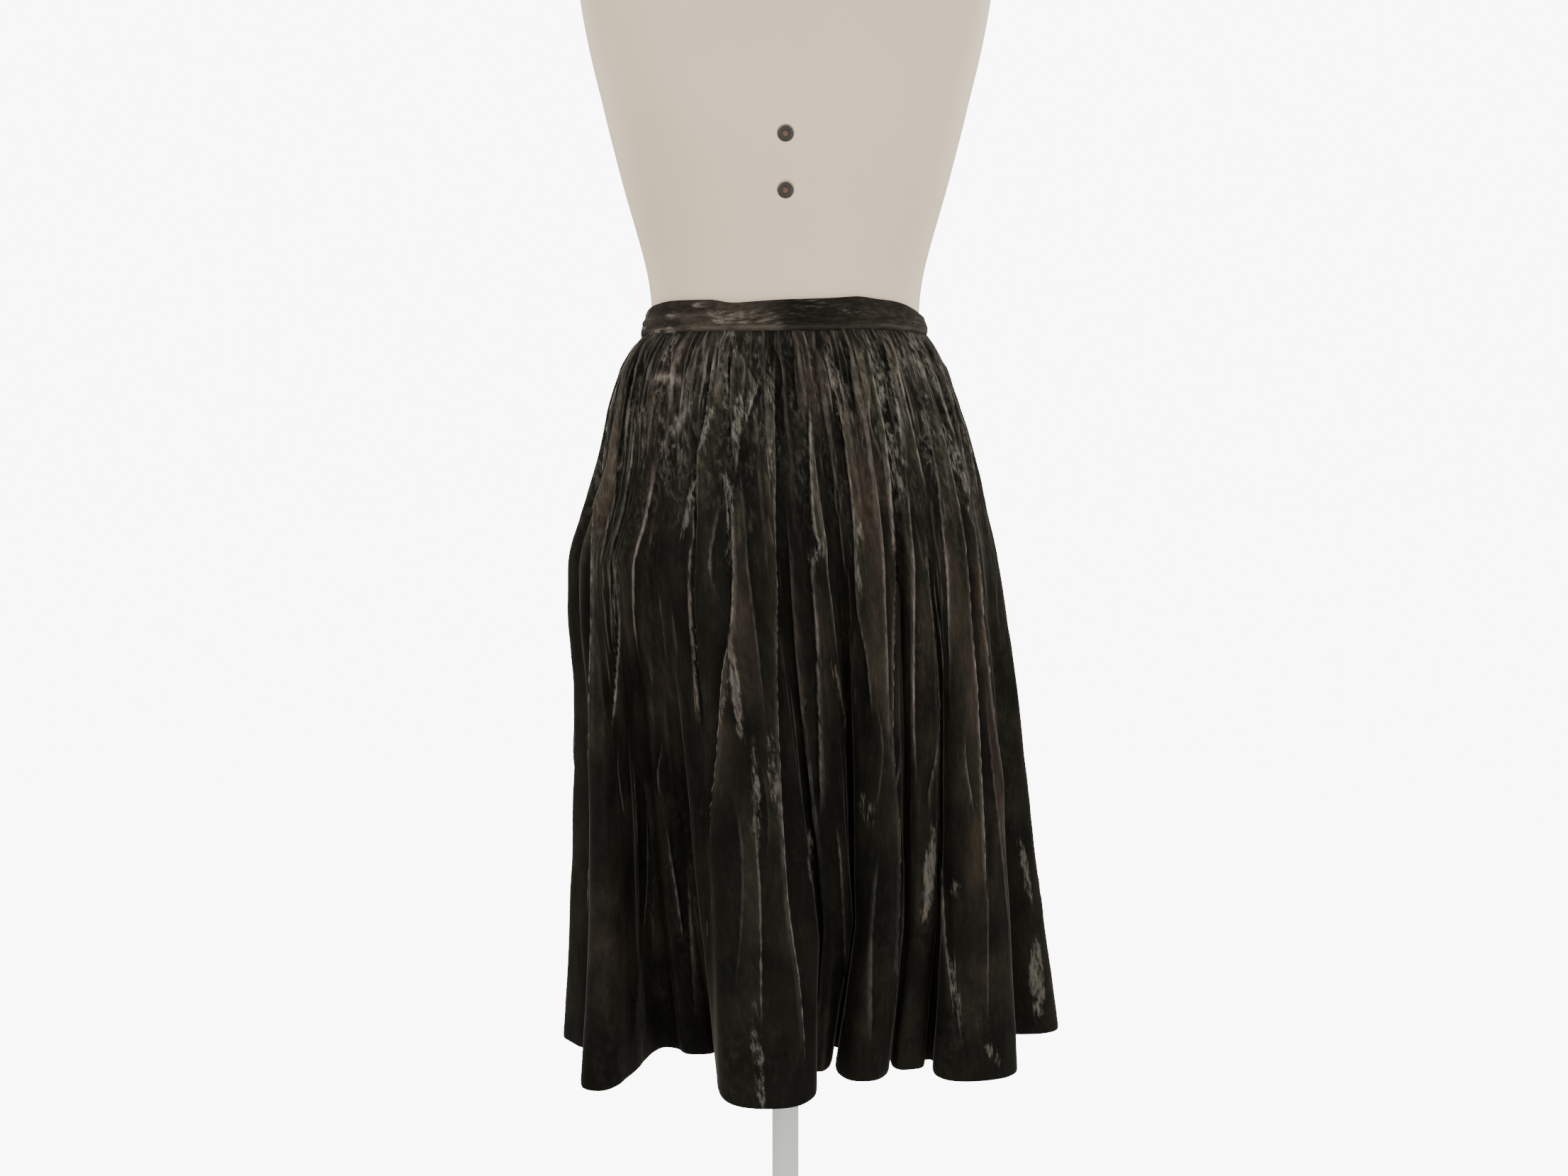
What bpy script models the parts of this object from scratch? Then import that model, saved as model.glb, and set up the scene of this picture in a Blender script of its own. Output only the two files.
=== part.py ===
"""Knee-length gathered velvet skirt worn on a limbless dress form with a round stand.

Metres, +Z up. The origin is on the floor under the middle of the stand, and -Y is the front.
Heights along the skirt and the form are counted from the seam between waistband and skirt.
"""

import math

import bpy
import numpy as np

# The garment's main sizes
WAIST_SEAM_HEIGHT = 1.020
SKIRT_LENGTH = 0.664
CLOTH = 0.0016
SEAM_GAP = 0.0003
BAND_HEIGHT = 0.025
BAND_THICKNESS = 0.0026

# How finely the cloth is drawn
GATHERS = 50
POINTS_PER_GATHER = 4
FINE = 3000

# Heights of the skirt's rings, as shares of its length from the waist seam to the hem
RING_SHARES = (0.0, 0.02, 0.055, 0.11, 0.18, 0.26, 0.35, 0.45, 0.55, 0.66, 0.77, 0.89, 1.0)

# The oval that the folds run along: half width to the viewer's left and right, and half depth
# to the front and back
OVAL_COLUMNS = ("share", "left", "right", "front", "back")
OVALS = (
    (0.000, 0.1310, 0.1290, 0.0975, 0.0945),
    (0.025, 0.1430, 0.1390, 0.1070, 0.1040),
    (0.055, 0.1505, 0.1470, 0.1150, 0.1120),
    (0.110, 0.1580, 0.1590, 0.1225, 0.1220),
    (0.180, 0.1640, 0.1720, 0.1290, 0.1310),
    (0.260, 0.1760, 0.1820, 0.1350, 0.1380),
    (0.320, 0.1870, 0.1895, 0.1370, 0.1410),
    (0.380, 0.1865, 0.1945, 0.1360, 0.1420),
    (0.500, 0.1790, 0.2020, 0.1300, 0.1400),
    (0.700, 0.1770, 0.2090, 0.1200, 0.1340),
    (1.000, 0.1800, 0.2200, 0.1050, 0.1280),
)

# The hem seen from above, a row for each fold, from the viewer's left side seam over the front
# to the right and round the back. A fold turns at its crest and then at the valley after it.
# The rounds are the reach of each turn, and facing is the crest's direction in degrees,
# 0 to the front and 90 to the viewer's right.
FOLD_COLUMNS = (
    "name", "crest_x", "crest_y", "crest_round", "facing", "valley_x", "valley_y", "valley_round"
)
FOLDS = (
    ("side_left", -0.207, -0.002, 0.022, -62, -0.169, -0.040, 0.014),
    ("front_1", -0.166, -0.135, 0.024, -14, -0.110, -0.025, 0.014),
    ("front_2", -0.083, -0.045, 0.014, 0, -0.060, -0.038, 0.006),
    ("front_3", -0.016, -0.177, 0.049, 0, 0.018, -0.078, 0.006),
    ("front_4", 0.031, -0.089, 0.010, 5, 0.047, -0.024, 0.005),
    ("front_5", 0.069, -0.113, 0.026, 5, 0.093, -0.042, 0.005),
    ("front_6", 0.111, -0.084, 0.018, 12, 0.130, -0.058, 0.010),
    ("front_7", 0.176, -0.111, 0.048, 12, 0.194, 0.006, 0.012),
    ("side_right", 0.266, 0.036, 0.026, 80, 0.196, 0.068, 0.014),
    ("back_1", 0.186, 0.137, 0.034, 128, 0.128, 0.074, 0.010),
    ("back_2", 0.098, 0.176, 0.042, 165, 0.060, 0.088, 0.008),
    ("back_3", 0.031, 0.160, 0.028, 176, 0.000, 0.098, 0.010),
    ("back_4", -0.045, 0.181, 0.044, 188, -0.084, 0.080, 0.008),
    ("back_5", -0.116, 0.154, 0.030, 205, -0.136, 0.072, 0.008),
    ("back_6", -0.176, 0.104, 0.032, 238, -0.166, 0.046, 0.012),
)
FOLD_GROWTH = 1.35

# Smaller folds that run from the gathers down to about the knee
PLEATS = 28
PLEAT_DEPTH = 0.0095
PLEAT_OVERLAP = 0.0065
GATHER_DEPTH = 0.0036

# Panels run between these valleys
LEFT_SEAM_AFTER = "back_6"
RIGHT_SEAM_AFTER = "side_right"
BACK_SEAM_AFTER = "back_3"

# Waistband: it overlaps at the centre back and is held by a button
BAND_TOP = {"left": 0.1268, "right": 0.1256, "front": 0.0932, "back": 0.0887}
BAND_BOTTOM = {"left": 0.1325, "right": 0.1305, "front": 0.0990, "back": 0.0960}
BAND_POINTS = 72
BAND_OVERLAP_DEGREES = 16.0
BAND_OVERLAP_LIFT = 0.0034
BUTTON_RADIUS = 0.0065
BUTTON_HEIGHT = 0.0030

# Dress form sections, heights from the waist seam
FORM_COLUMNS = ("height", "side", "front", "back", "square")
FORM = (
    (-0.2760, 0.1020, 0.0660, 0.0740, 2.1),
    (-0.2700, 0.1240, 0.0820, 0.0900, 2.1),
    (-0.2500, 0.1420, 0.0960, 0.1030, 2.1),
    (-0.2100, 0.1560, 0.1060, 0.1130, 2.1),
    (-0.1600, 0.1570, 0.1060, 0.1120, 2.1),
    (-0.1100, 0.1480, 0.1000, 0.1050, 2.1),
    (-0.0600, 0.1340, 0.0930, 0.0940, 2.0),
    (-0.0200, 0.1245, 0.0895, 0.0870, 2.0),
    (0.0050, 0.1222, 0.0890, 0.0850, 2.0),
    (0.0250, 0.1224, 0.0894, 0.0849, 2.0),
    (0.0500, 0.1255, 0.0905, 0.0855, 2.05),
    (0.0770, 0.1325, 0.0930, 0.0880, 2.1),
    (0.1030, 0.1400, 0.0980, 0.0920, 2.1),
    (0.1290, 0.1475, 0.1040, 0.0960, 2.15),
    (0.1550, 0.1540, 0.1100, 0.1000, 2.2),
    (0.1820, 0.1610, 0.1120, 0.1030, 2.2),
    (0.2080, 0.1670, 0.1100, 0.1050, 2.2),
    (0.2340, 0.1740, 0.1040, 0.1050, 2.2),
    (0.2610, 0.1800, 0.0960, 0.1020, 2.2),
    (0.2870, 0.1850, 0.0880, 0.0960, 2.3),
    (0.3130, 0.1885, 0.0800, 0.0880, 2.4),
    (0.3350, 0.1870, 0.0720, 0.0790, 2.4),
    (0.3500, 0.1720, 0.0660, 0.0720, 2.3),
    (0.3620, 0.1400, 0.0620, 0.0670, 2.2),
    (0.3730, 0.1020, 0.0590, 0.0630, 2.1),
    (0.3880, 0.0700, 0.0560, 0.0590, 2.0),
    (0.4100, 0.0560, 0.0530, 0.0550, 2.0),
    (0.4380, 0.0530, 0.0510, 0.0530, 2.0),
    (0.4430, 0.0480, 0.0460, 0.0480, 2.0),
    (0.4455, 0.0300, 0.0290, 0.0300, 2.0),
)
FORM_SIDES = 36

# The two screws in the middle of the form's front
SCREW_HEIGHTS = {"upper": 0.1577, "lower": 0.1119}
SCREW_RECESS_RADIUS = 0.0069
SCREW_RECESS_DEPTH = 0.0040
SCREW_RADIUS = 0.0064
SCREW_THICKNESS = 0.0030
SOCKET_RADIUS = 0.0032
SOCKET_DEPTH = 0.0018

# Stand
POLE_RADIUS = 0.0125
FLANGE_RADIUS = 0.045
FLANGE_THICKNESS = 0.006
BASE_RADIUS = 0.180
BASE_THICKNESS = 0.010
COLLAR_RADIUS = 0.022
COLLAR_HEIGHT = 0.030
ROUND_SIDES = 48

VELVET = ("velvet", (0.030, 0.026, 0.019), 0.85, 0.0)
BAND_VELVET = ("band_velvet", (0.026, 0.021, 0.016), 0.85, 0.0)
BUTTON_SHELL = ("button_shell", (0.020, 0.017, 0.014), 0.35, 0.0)
FORM_SHELL = ("form_shell", (0.62, 0.56, 0.49), 0.45, 0.0)
SCREW_STEEL = ("screw_steel", (0.060, 0.062, 0.058), 0.40, 0.9)
STAND_LACQUER = ("stand_lacquer", (0.86, 0.86, 0.84), 0.35, 0.1)


def clear_scene():
    """Removes the objects that Blender starts with."""
    for obj in list(bpy.data.objects):
        bpy.data.objects.remove(obj)


def material(finish):
    """A Principled material from (name, colour, roughness, metallic), made once."""
    name, colour, roughness, metallic = finish
    made = bpy.data.materials.get(name)
    if made is None:
        made = bpy.data.materials.new(name)
        made.use_nodes = True
        shader = made.node_tree.nodes["Principled BSDF"]
        shader.inputs["Base Color"].default_value = (*colour, 1.0)
        shader.inputs["Roughness"].default_value = roughness
        shader.inputs["Metallic"].default_value = metallic
    return made


def add_object(name, points, faces, finish, smooth_degrees=60):
    """A mesh object with its own material, shaded smooth except at sharp edges."""
    mesh = bpy.data.meshes.new(name)
    mesh.from_pydata([tuple(point) for point in points], [], faces)
    mesh.shade_smooth()
    mesh.set_sharp_from_angle(angle=math.radians(smooth_degrees))
    mesh.materials.append(material(finish))
    obj = bpy.data.objects.new(name, mesh)
    bpy.context.scene.collection.objects.link(obj)
    return obj


def column(rows, columns, name):
    """One named column of a table, as an array."""
    return np.array([row[columns.index(name)] for row in rows])


def eased(places, values, at):
    """Smooth values at each place, through a table's values, with no overshoot."""
    places, values, at = (np.asarray(a, float) for a in (places, values, at))
    slopes = np.diff(values) / np.diff(places)
    before, after = slopes[:-1], slopes[1:]
    together = before * after > 0
    inner = np.where(together, 2 * before * after / np.where(together, before + after, 1), 0)
    tangents = np.concatenate([slopes[:1], inner, slopes[-1:]])
    i = np.clip(np.searchsorted(places, at) - 1, 0, len(places) - 2)
    span = places[i + 1] - places[i]
    t = np.clip((at - places[i]) / span, 0, 1)
    return (
        values[i] * (1 + 2 * t) * (1 - t) ** 2
        + values[i + 1] * t**2 * (3 - 2 * t)
        + span * tangents[i] * t * (1 - t) ** 2
        - span * tangents[i + 1] * t**2 * (1 - t)
    )


def oval(bearing, left, right, front, back, square=2.0):
    """Points of an oval in plan. Bearing 0 is the front (-Y), and it turns towards +X."""
    across, along = np.sin(bearing), -np.cos(bearing)
    side = np.where(across > 0, right, left)
    depth = np.where(along > 0, back, front)
    power = 2.0 / square
    x = side * np.sign(across) * np.abs(across) ** power
    y = depth * np.sign(along) * np.abs(along) ** power
    return np.stack([x, y], axis=-1)


def length_shares(points):
    """How far along a closed plan line each point lies, as a share of the whole."""
    steps = np.linalg.norm(np.roll(points, -1, axis=0) - points, axis=1)
    along = np.concatenate([[0.0], np.cumsum(steps)])
    return along / along[-1]


def around(shares, values, at):
    """A closed line's values at given shares of its length."""
    closed = np.concatenate([values, values[:1]])
    return np.stack([np.interp(at, shares, closed[:, k]) for k in range(closed.shape[1])], axis=-1)


def hem_plan():
    """The hem line from above, with the share of its length at each valley."""
    turns, turn_starts, points = [], [], []
    for i, row in enumerate(FOLDS):
        fold = dict(zip(FOLD_COLUMNS, row))
        following = dict(zip(FOLD_COLUMNS, FOLDS[(i + 1) % len(FOLDS)]))
        turn = (following["facing"] - fold["facing"]) % 360
        valley_facing = fold["facing"] + turn / 2
        turns.append((fold["crest_x"], fold["crest_y"], fold["crest_round"], fold["facing"]))
        turns.append((fold["valley_x"], fold["valley_y"], fold["valley_round"], valley_facing))
    steps = np.linspace(0, 1, FINE // len(turns), endpoint=False)[:, None]
    for start, end in zip(turns, turns[1:] + turns[:1]):
        turn_starts.append(sum(len(part) for part in points))
        ends = []
        for x, y, reach, facing in (start, end):
            along = math.radians(facing)
            ends.append((np.array((x, y)), reach * np.array((math.cos(along), math.sin(along)))))
        (here, out), (there, into) = ends
        points.append(
            here * (1 - steps) ** 3
            + (here + 1.5 * out) * 3 * steps * (1 - steps) ** 2
            + (there - 1.5 * into) * 3 * steps**2 * (1 - steps)
            + there * steps**3
        )
    line = np.concatenate(points)
    shares = length_shares(line)
    seams = {row[0]: shares[turn_starts[2 * i + 1]] for i, row in enumerate(FOLDS)}
    return line, shares, seams


def cloth_columns(first):
    """Shares of the hem at the quarter points of each gather, which are unevenly wide."""
    even = np.linspace(0, 1, FINE)
    phase = even + 0.006 * np.sin(14 * math.pi * even) + 0.003 * np.sin(34 * math.pi * even + 1)
    count = GATHERS * POINTS_PER_GATHER
    gather = np.arange(count) / count
    shares = np.interp(gather, (phase - phase[0]) / (phase[-1] - phase[0]), even)
    return (first + shares) % 1.0, gather


def waves(gather, share_down):
    """Offsets out of the cloth and along it for the gathers and pleats at one height."""
    turn = 2 * math.pi * gather
    fade_in = min(1.0, 0.25 + share_down / 0.05)
    gather_size = GATHER_DEPTH * fade_in * max(0.0, 1 - share_down / 0.42) ** 1.2
    uneven = 1 + 0.35 * np.sin(7 * turn + 0.8) + 0.25 * np.sin(11 * turn + 2.1)
    out = gather_size * uneven * np.cos(GATHERS * turn)
    rise = min(1.0, share_down / 0.22)
    fall = 1.0 if share_down < 0.45 else 1 - 0.75 * min(1.0, (share_down - 0.45) / 0.45)
    pleat = PLEATS * turn + 0.9 * np.sin(5 * turn + 0.4) + 0.5 * np.sin(9 * turn)
    size = rise * fall * (0.72 + 0.28 * np.sin(4 * turn + 1.3) + 0.22 * np.sin(13 * turn))
    out += PLEAT_DEPTH * size * np.cos(pleat)
    along = PLEAT_OVERLAP * size * np.sin(pleat)
    return out, along


def cloth_oval(share, bearing):
    """The oval under the folds at a share of the way down the skirt."""
    places = column(OVALS, OVAL_COLUMNS, "share")
    sizes = [eased(places, column(OVALS, OVAL_COLUMNS, name), share) for name in OVAL_COLUMNS[1:]]
    return oval(bearing, *sizes)


def even_bearings(gather, first):
    """Bearings that space the gathers evenly along the waist, starting at the left seam."""
    fine = first + np.linspace(0, 2 * math.pi, FINE, endpoint=False)
    shares = length_shares(cloth_oval(0.0, fine))
    return np.interp(gather, shares, np.concatenate([fine, [first + 2 * math.pi]]))


def cloth_surface():
    """Points of the cloth's outside, ring by ring, and the columns that the seams follow."""
    line, shares, seams = hem_plan()
    at, gather = cloth_columns(seams[LEFT_SEAM_AFTER])
    hem = around(shares, line, at)
    bearing = np.unwrap(np.arctan2(hem[:, 0], -hem[:, 1]))
    window = 2 * (len(at) // (2 * len(FOLDS))) + 1
    padded = np.concatenate([bearing[-window:] - 2 * math.pi, bearing, bearing[:window] + 2 * math.pi])
    eased_bearing = np.convolve(padded, np.ones(window) / window, "same")[window:-window]
    hem_oval = cloth_oval(1.0, eased_bearing)
    even_bearing = even_bearings(gather, eased_bearing[0])
    rings = []
    for share in RING_SHARES:
        mixed = even_bearing + (eased_bearing - even_bearing) * min(1.0, share / 0.8)
        base = cloth_oval(share, mixed)
        flat = base + share**FOLD_GROWTH * (hem - hem_oval)
        forward = np.roll(flat, -1, axis=0) - np.roll(flat, 1, axis=0)
        forward /= np.linalg.norm(forward, axis=1)[:, None]
        outward = np.stack([forward[:, 1], -forward[:, 0]], axis=1)
        out, along = waves(gather, share)
        plan = flat + outward * out[:, None] + forward * along[:, None]
        height = np.full((len(plan), 1), WAIST_SEAM_HEIGHT - share * SKIRT_LENGTH)
        rings.append(np.concatenate([plan, height], axis=1))
    grid = np.array(rings)
    columns = {
        name: int(np.argmin(np.abs((at - seams[name] + 0.5) % 1.0 - 0.5)))
        for name in (LEFT_SEAM_AFTER, RIGHT_SEAM_AFTER, BACK_SEAM_AFTER)
    }
    return grid, columns


def inner_surface(grid, thickness):
    """The same points moved inwards by the cloth's thickness."""
    around_step = np.roll(grid, -1, axis=1) - np.roll(grid, 1, axis=1)
    down_step = np.gradient(grid, axis=0)
    normal = np.cross(around_step, down_step)
    normal /= np.linalg.norm(normal, axis=2)[..., None]
    plan = grid.mean(axis=(0, 1))
    if ((grid - plan) * normal).sum() < 0:
        normal = -normal
    return grid - thickness * normal


def sheet_solid(name, outer, inner, finish):
    """A closed wall between two grids of points with open ends."""
    rows, cols = outer.shape[:2]
    count = rows * cols
    points = np.concatenate([outer.reshape(-1, 3), inner.reshape(-1, 3)])
    faces = []
    for r in range(rows - 1):
        for c in range(cols - 1):
            a, b = r * cols + c, r * cols + c + 1
            d, e = a + cols, b + cols
            faces.append((a, d, e, b))
            faces.append((count + a, count + b, count + e, count + d))
    for c in range(cols - 1):
        faces.append((c, c + 1, count + c + 1, count + c))
        low = (rows - 1) * cols + c
        faces.append((low, count + low, count + low + 1, low + 1))
    for r in range(rows - 1):
        left, right = r * cols, r * cols + cols - 1
        faces.append((left, count + left, count + left + cols, left + cols))
        faces.append((right, right + cols, count + right + cols, count + right))
    return add_object(name, points, faces, finish)


def panel(name, outer, inner, first, last):
    """The cloth from one seam column to another, its edges held back by half the seam gap."""
    total = outer.shape[1]
    picked = [(first + k) % total for k in range((last - first) % total + 1)]
    sides = []
    for grid in (outer, inner):
        part = grid[:, picked].copy()
        for edge, beside in ((0, 1), (-1, -2)):
            step = part[:, beside] - part[:, edge]
            length = np.linalg.norm(step, axis=1)[:, None]
            part[:, edge] += step * (SEAM_GAP / 2) / length
        sides.append(part)
    return sheet_solid(name, *sides, VELVET)


def make_skirt():
    """Front panel and two back panels."""
    outer, seams = cloth_surface()
    inner = inner_surface(outer, CLOTH)
    left, right, back = (seams[n] for n in (LEFT_SEAM_AFTER, RIGHT_SEAM_AFTER, BACK_SEAM_AFTER))
    panel("skirt_front", outer, inner, left, right)
    panel("skirt_back_right", outer, inner, right, back)
    panel("skirt_back_left", outer, inner, back, left)


def make_waistband():
    """A doubled strip round the waist that laps over itself at the centre back."""
    lap = math.radians(BAND_OVERLAP_DEGREES)
    bearing = np.linspace(-math.pi - lap / 2, math.pi + lap / 2, BAND_POINTS)
    lift = BAND_OVERLAP_LIFT * eased(
        (-1.0, 0.0, 1.0, 2.0), (0.0, 0.0, 1.0, 1.0), (bearing - math.pi + 1.7 * lap) / (1.1 * lap)
    )
    outer, inner = [], []
    for rise, belly in ((0.0, 0.0), (0.3, 0.0004), (0.75, 0.0004), (1.0, 0.0)):
        sizes = {side: size + rise * (BAND_TOP[side] - size) for side, size in BAND_BOTTOM.items()}
        plan = oval(bearing, **sizes)
        outward = plan / np.linalg.norm(plan, axis=1)[:, None]
        height = WAIST_SEAM_HEIGHT + SEAM_GAP + rise * BAND_HEIGHT
        heights = np.full((len(plan), 1), height)
        face = plan + outward * (lift + belly)[:, None]
        hidden = plan + outward * (lift - BAND_THICKNESS)[:, None]
        outer.append(np.concatenate([face, heights], axis=1))
        inner.append(np.concatenate([hidden, heights], axis=1))
    sheet_solid("waistband", np.array(outer[::-1]), np.array(inner[::-1]), BAND_VELVET)


def turned(name, profile, finish, sides=ROUND_SIDES):
    """A closed solid turned about Z from (radius, height) pairs, lowest first."""
    angles = np.linspace(0, 2 * math.pi, sides, endpoint=False)
    points = [(r * math.cos(a), r * math.sin(a), z) for r, z in profile for a in angles]
    faces = [tuple(reversed(range(sides)))]
    for level in range(len(profile) - 1):
        for k in range(sides):
            low, low_next = level * sides + k, level * sides + (k + 1) % sides
            faces.append((low, low_next, low_next + sides, low + sides))
    top = (len(profile) - 1) * sides
    faces.append(tuple(range(top, top + sides)))
    return add_object(name, points, faces, finish, smooth_degrees=35)


def make_button():
    """A flat round button on the lapped end of the waistband, its face to the back."""
    profile = (
        (BUTTON_RADIUS * 0.86, 0.0),
        (BUTTON_RADIUS, BUTTON_HEIGHT * 0.35),
        (BUTTON_RADIUS, BUTTON_HEIGHT * 0.65),
        (BUTTON_RADIUS * 0.80, BUTTON_HEIGHT),
    )
    button = turned("waistband_button", profile, BUTTON_SHELL, 24)
    slope = math.atan((BAND_BOTTOM["back"] - BAND_TOP["back"]) / BAND_HEIGHT)
    depth = (BAND_TOP["back"] + BAND_BOTTOM["back"]) / 2 + BAND_OVERLAP_LIFT + 0.0006
    button.rotation_euler = (slope - math.pi / 2, 0, 0)
    button.location = (0.0, depth + SEAM_GAP, WAIST_SEAM_HEIGHT + BAND_HEIGHT / 2)


def form_front(height):
    """How far the form reaches to the front at a height over the waist seam."""
    places = column(FORM, FORM_COLUMNS, "height")
    return float(eased(places, column(FORM, FORM_COLUMNS, "front"), height))


def make_form():
    """The torso, with a recess for each screw."""
    bearing = np.linspace(0, 2 * math.pi, FORM_SIDES, endpoint=False)
    points, faces = [], [tuple(reversed(range(FORM_SIDES)))]
    for row in FORM:
        section = dict(zip(FORM_COLUMNS, row))
        plan = oval(
            bearing, section["side"], section["side"], section["front"], section["back"],
            section["square"],
        )
        height = WAIST_SEAM_HEIGHT + section["height"]
        points += [(x, y, height) for x, y in plan]
    for level in range(len(FORM) - 1):
        for k in range(FORM_SIDES):
            low, low_next = level * FORM_SIDES + k, level * FORM_SIDES + (k + 1) % FORM_SIDES
            faces.append((low, low_next, low_next + FORM_SIDES, low + FORM_SIDES))
    top = (len(FORM) - 1) * FORM_SIDES
    faces.append(tuple(range(top, top + FORM_SIDES)))
    torso = add_object("form_torso", points, faces, FORM_SHELL)
    for height in SCREW_HEIGHTS.values():
        profile = ((SCREW_RECESS_RADIUS, -SCREW_RECESS_DEPTH), (SCREW_RECESS_RADIUS, 0.01))
        recess = turned("recess_cutter", profile, SCREW_STEEL, 24)
        seat_screw(recess, height)
        cut_away(torso, recess)


def cut_away(obj, cutter):
    """Cuts one solid out of another for good, and marks the new sharp edges."""
    cut = obj.modifiers.new("cut", "BOOLEAN")
    cut.operation = "DIFFERENCE"
    cut.object = cutter
    bpy.context.view_layer.update()
    depsgraph = bpy.context.evaluated_depsgraph_get()
    mesh = bpy.data.meshes.new_from_object(obj.evaluated_get(depsgraph))
    mesh.set_sharp_from_angle(angle=math.radians(35))
    obj.modifiers.clear()
    obj.data = mesh
    bpy.data.objects.remove(cutter)


def seat_screw(obj, height):
    """Turns a piece made along +Z to point out of the form's front at a screw's height."""
    obj.rotation_euler = (math.pi / 2, 0, 0)
    obj.location = (0.0, -form_front(height), WAIST_SEAM_HEIGHT + height)


def make_screws():
    """A round-headed screw with a hexagon socket, sunk in each recess."""
    seat = -SCREW_RECESS_DEPTH + SEAM_GAP
    rim = seat + SCREW_THICKNESS
    edge = 0.0006
    for which, height in SCREW_HEIGHTS.items():
        profile = ((SCREW_RADIUS, seat), (SCREW_RADIUS, rim - edge), (SCREW_RADIUS - edge, rim))
        head = turned(f"form_screw_{which}", profile, SCREW_STEEL, 24)
        hollow = ((SOCKET_RADIUS, rim - SOCKET_DEPTH), (SOCKET_RADIUS, rim + SOCKET_DEPTH))
        cut_away(head, turned("socket_cutter", hollow, SCREW_STEEL, 6))
        seat_screw(head, height)


def make_stand():
    """Flange under the form, pole, and round base with its collar."""
    form_foot = WAIST_SEAM_HEIGHT + FORM[0][0]
    flange_top = form_foot - SEAM_GAP
    flange_foot = flange_top - FLANGE_THICKNESS
    pole_foot = BASE_THICKNESS + SEAM_GAP
    edge = 0.0025
    turned(
        "stand_base",
        (
            (BASE_RADIUS - edge, 0.0),
            (BASE_RADIUS, edge),
            (BASE_RADIUS, BASE_THICKNESS - edge),
            (BASE_RADIUS - edge, BASE_THICKNESS),
        ),
        STAND_LACQUER,
    )
    turned(
        "stand_pole",
        (
            (COLLAR_RADIUS, pole_foot),
            (COLLAR_RADIUS, pole_foot + COLLAR_HEIGHT - edge),
            (COLLAR_RADIUS - edge, pole_foot + COLLAR_HEIGHT),
            (POLE_RADIUS, pole_foot + COLLAR_HEIGHT),
            (POLE_RADIUS, flange_foot - SEAM_GAP),
        ),
        STAND_LACQUER,
        24,
    )
    turned(
        "stand_flange",
        (
            (FLANGE_RADIUS - edge, flange_foot),
            (FLANGE_RADIUS, flange_foot + edge),
            (FLANGE_RADIUS, flange_top),
        ),
        STAND_LACQUER,
    )


def main():
    clear_scene()
    make_skirt()
    make_waistband()
    make_button()
    make_form()
    make_screws()
    make_stand()


main()
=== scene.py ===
"""Looks of a gathered crushed velvet skirt on a limbless dress form with a round stand.

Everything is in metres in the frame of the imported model: +Z up, -Y the front, and the origin on
the floor under the pole. Drops are measured downwards from the seam under the waistband.
"""

from __future__ import annotations

import logging
import math
from collections.abc import Callable
from dataclasses import dataclass, fields
from enum import Enum

import bpy
import numpy as np
from mathutils import Matrix, Vector


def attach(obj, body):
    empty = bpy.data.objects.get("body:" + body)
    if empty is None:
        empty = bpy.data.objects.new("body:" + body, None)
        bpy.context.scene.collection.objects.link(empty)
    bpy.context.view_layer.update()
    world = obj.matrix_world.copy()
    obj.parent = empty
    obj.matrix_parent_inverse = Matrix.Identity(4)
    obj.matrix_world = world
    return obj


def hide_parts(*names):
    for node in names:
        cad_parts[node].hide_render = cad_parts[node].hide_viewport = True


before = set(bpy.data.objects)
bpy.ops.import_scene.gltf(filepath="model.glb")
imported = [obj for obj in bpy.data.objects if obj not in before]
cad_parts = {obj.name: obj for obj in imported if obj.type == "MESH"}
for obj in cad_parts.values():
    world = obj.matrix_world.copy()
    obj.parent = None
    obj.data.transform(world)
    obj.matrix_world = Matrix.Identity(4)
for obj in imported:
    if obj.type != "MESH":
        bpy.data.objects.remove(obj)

LOG = logging.getLogger("velvet_skirt")

MM = 0.001
WAIST_SEAM_HEIGHT = 1.020
SKIRT_LENGTH = 0.664
SEAM_GAP = 0.0003
FINE = 3000
FOLD_REACH = 6.0 * MM
WAIST_TILT = 6.5 * MM
LEFT_SEAM_AFTER = "back_6"
RIGHT_SEAM_AFTER = "side_right"
BACK_SEAM_AFTER = "back_3"


class Facing(Enum):
    """Which half of the skirt a crease or a stroke of the pile lies on."""

    FRONT = -1.0
    BACK = 1.0


class PanelPart(Enum):
    """The three cut pieces of the skirt, by the name of their node."""

    FRONT = "skirt_front"
    BACK_RIGHT = "skirt_back_right"
    BACK_LEFT = "skirt_back_left"


@dataclass(frozen=True)
class Fold:
    """One large fold at the hem: a crest and the valley after it, seen from above."""

    name: str
    crest: tuple[float, float]
    crest_round: float
    facing: float
    valley: tuple[float, float]
    valley_round: float


@dataclass(frozen=True)
class OvalLevel:
    """The oval that the folds run along at one share of the way down."""

    share: float
    left: float
    right: float
    front: float
    back: float


@dataclass(frozen=True)
class Crease:
    """A long soft crease, in millimetres: x from the pole, and drop under the waist seam.

    A lean of 1 puts its shaded trough to the viewer's right in the front view, -1 to the left
    and 0 on neither side. A negative depth is a furrow.
    """

    name: str
    facing: Facing
    points: tuple[tuple[float, float], ...]
    lean: float
    width: float
    depth: float
    shine: float


@dataclass(frozen=True)
class CreaseFamily:
    """Many fine creases that run down the cloth from one band of heights.

    Starts and lengths are shares of the skirt's length; widths and depths are in millimetres.
    """

    name: str
    count: int
    seed: int
    start: tuple[float, float]
    length: tuple[float, float]
    width: tuple[float, float]
    depth: tuple[float, float]
    shine: tuple[float, float]


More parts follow.
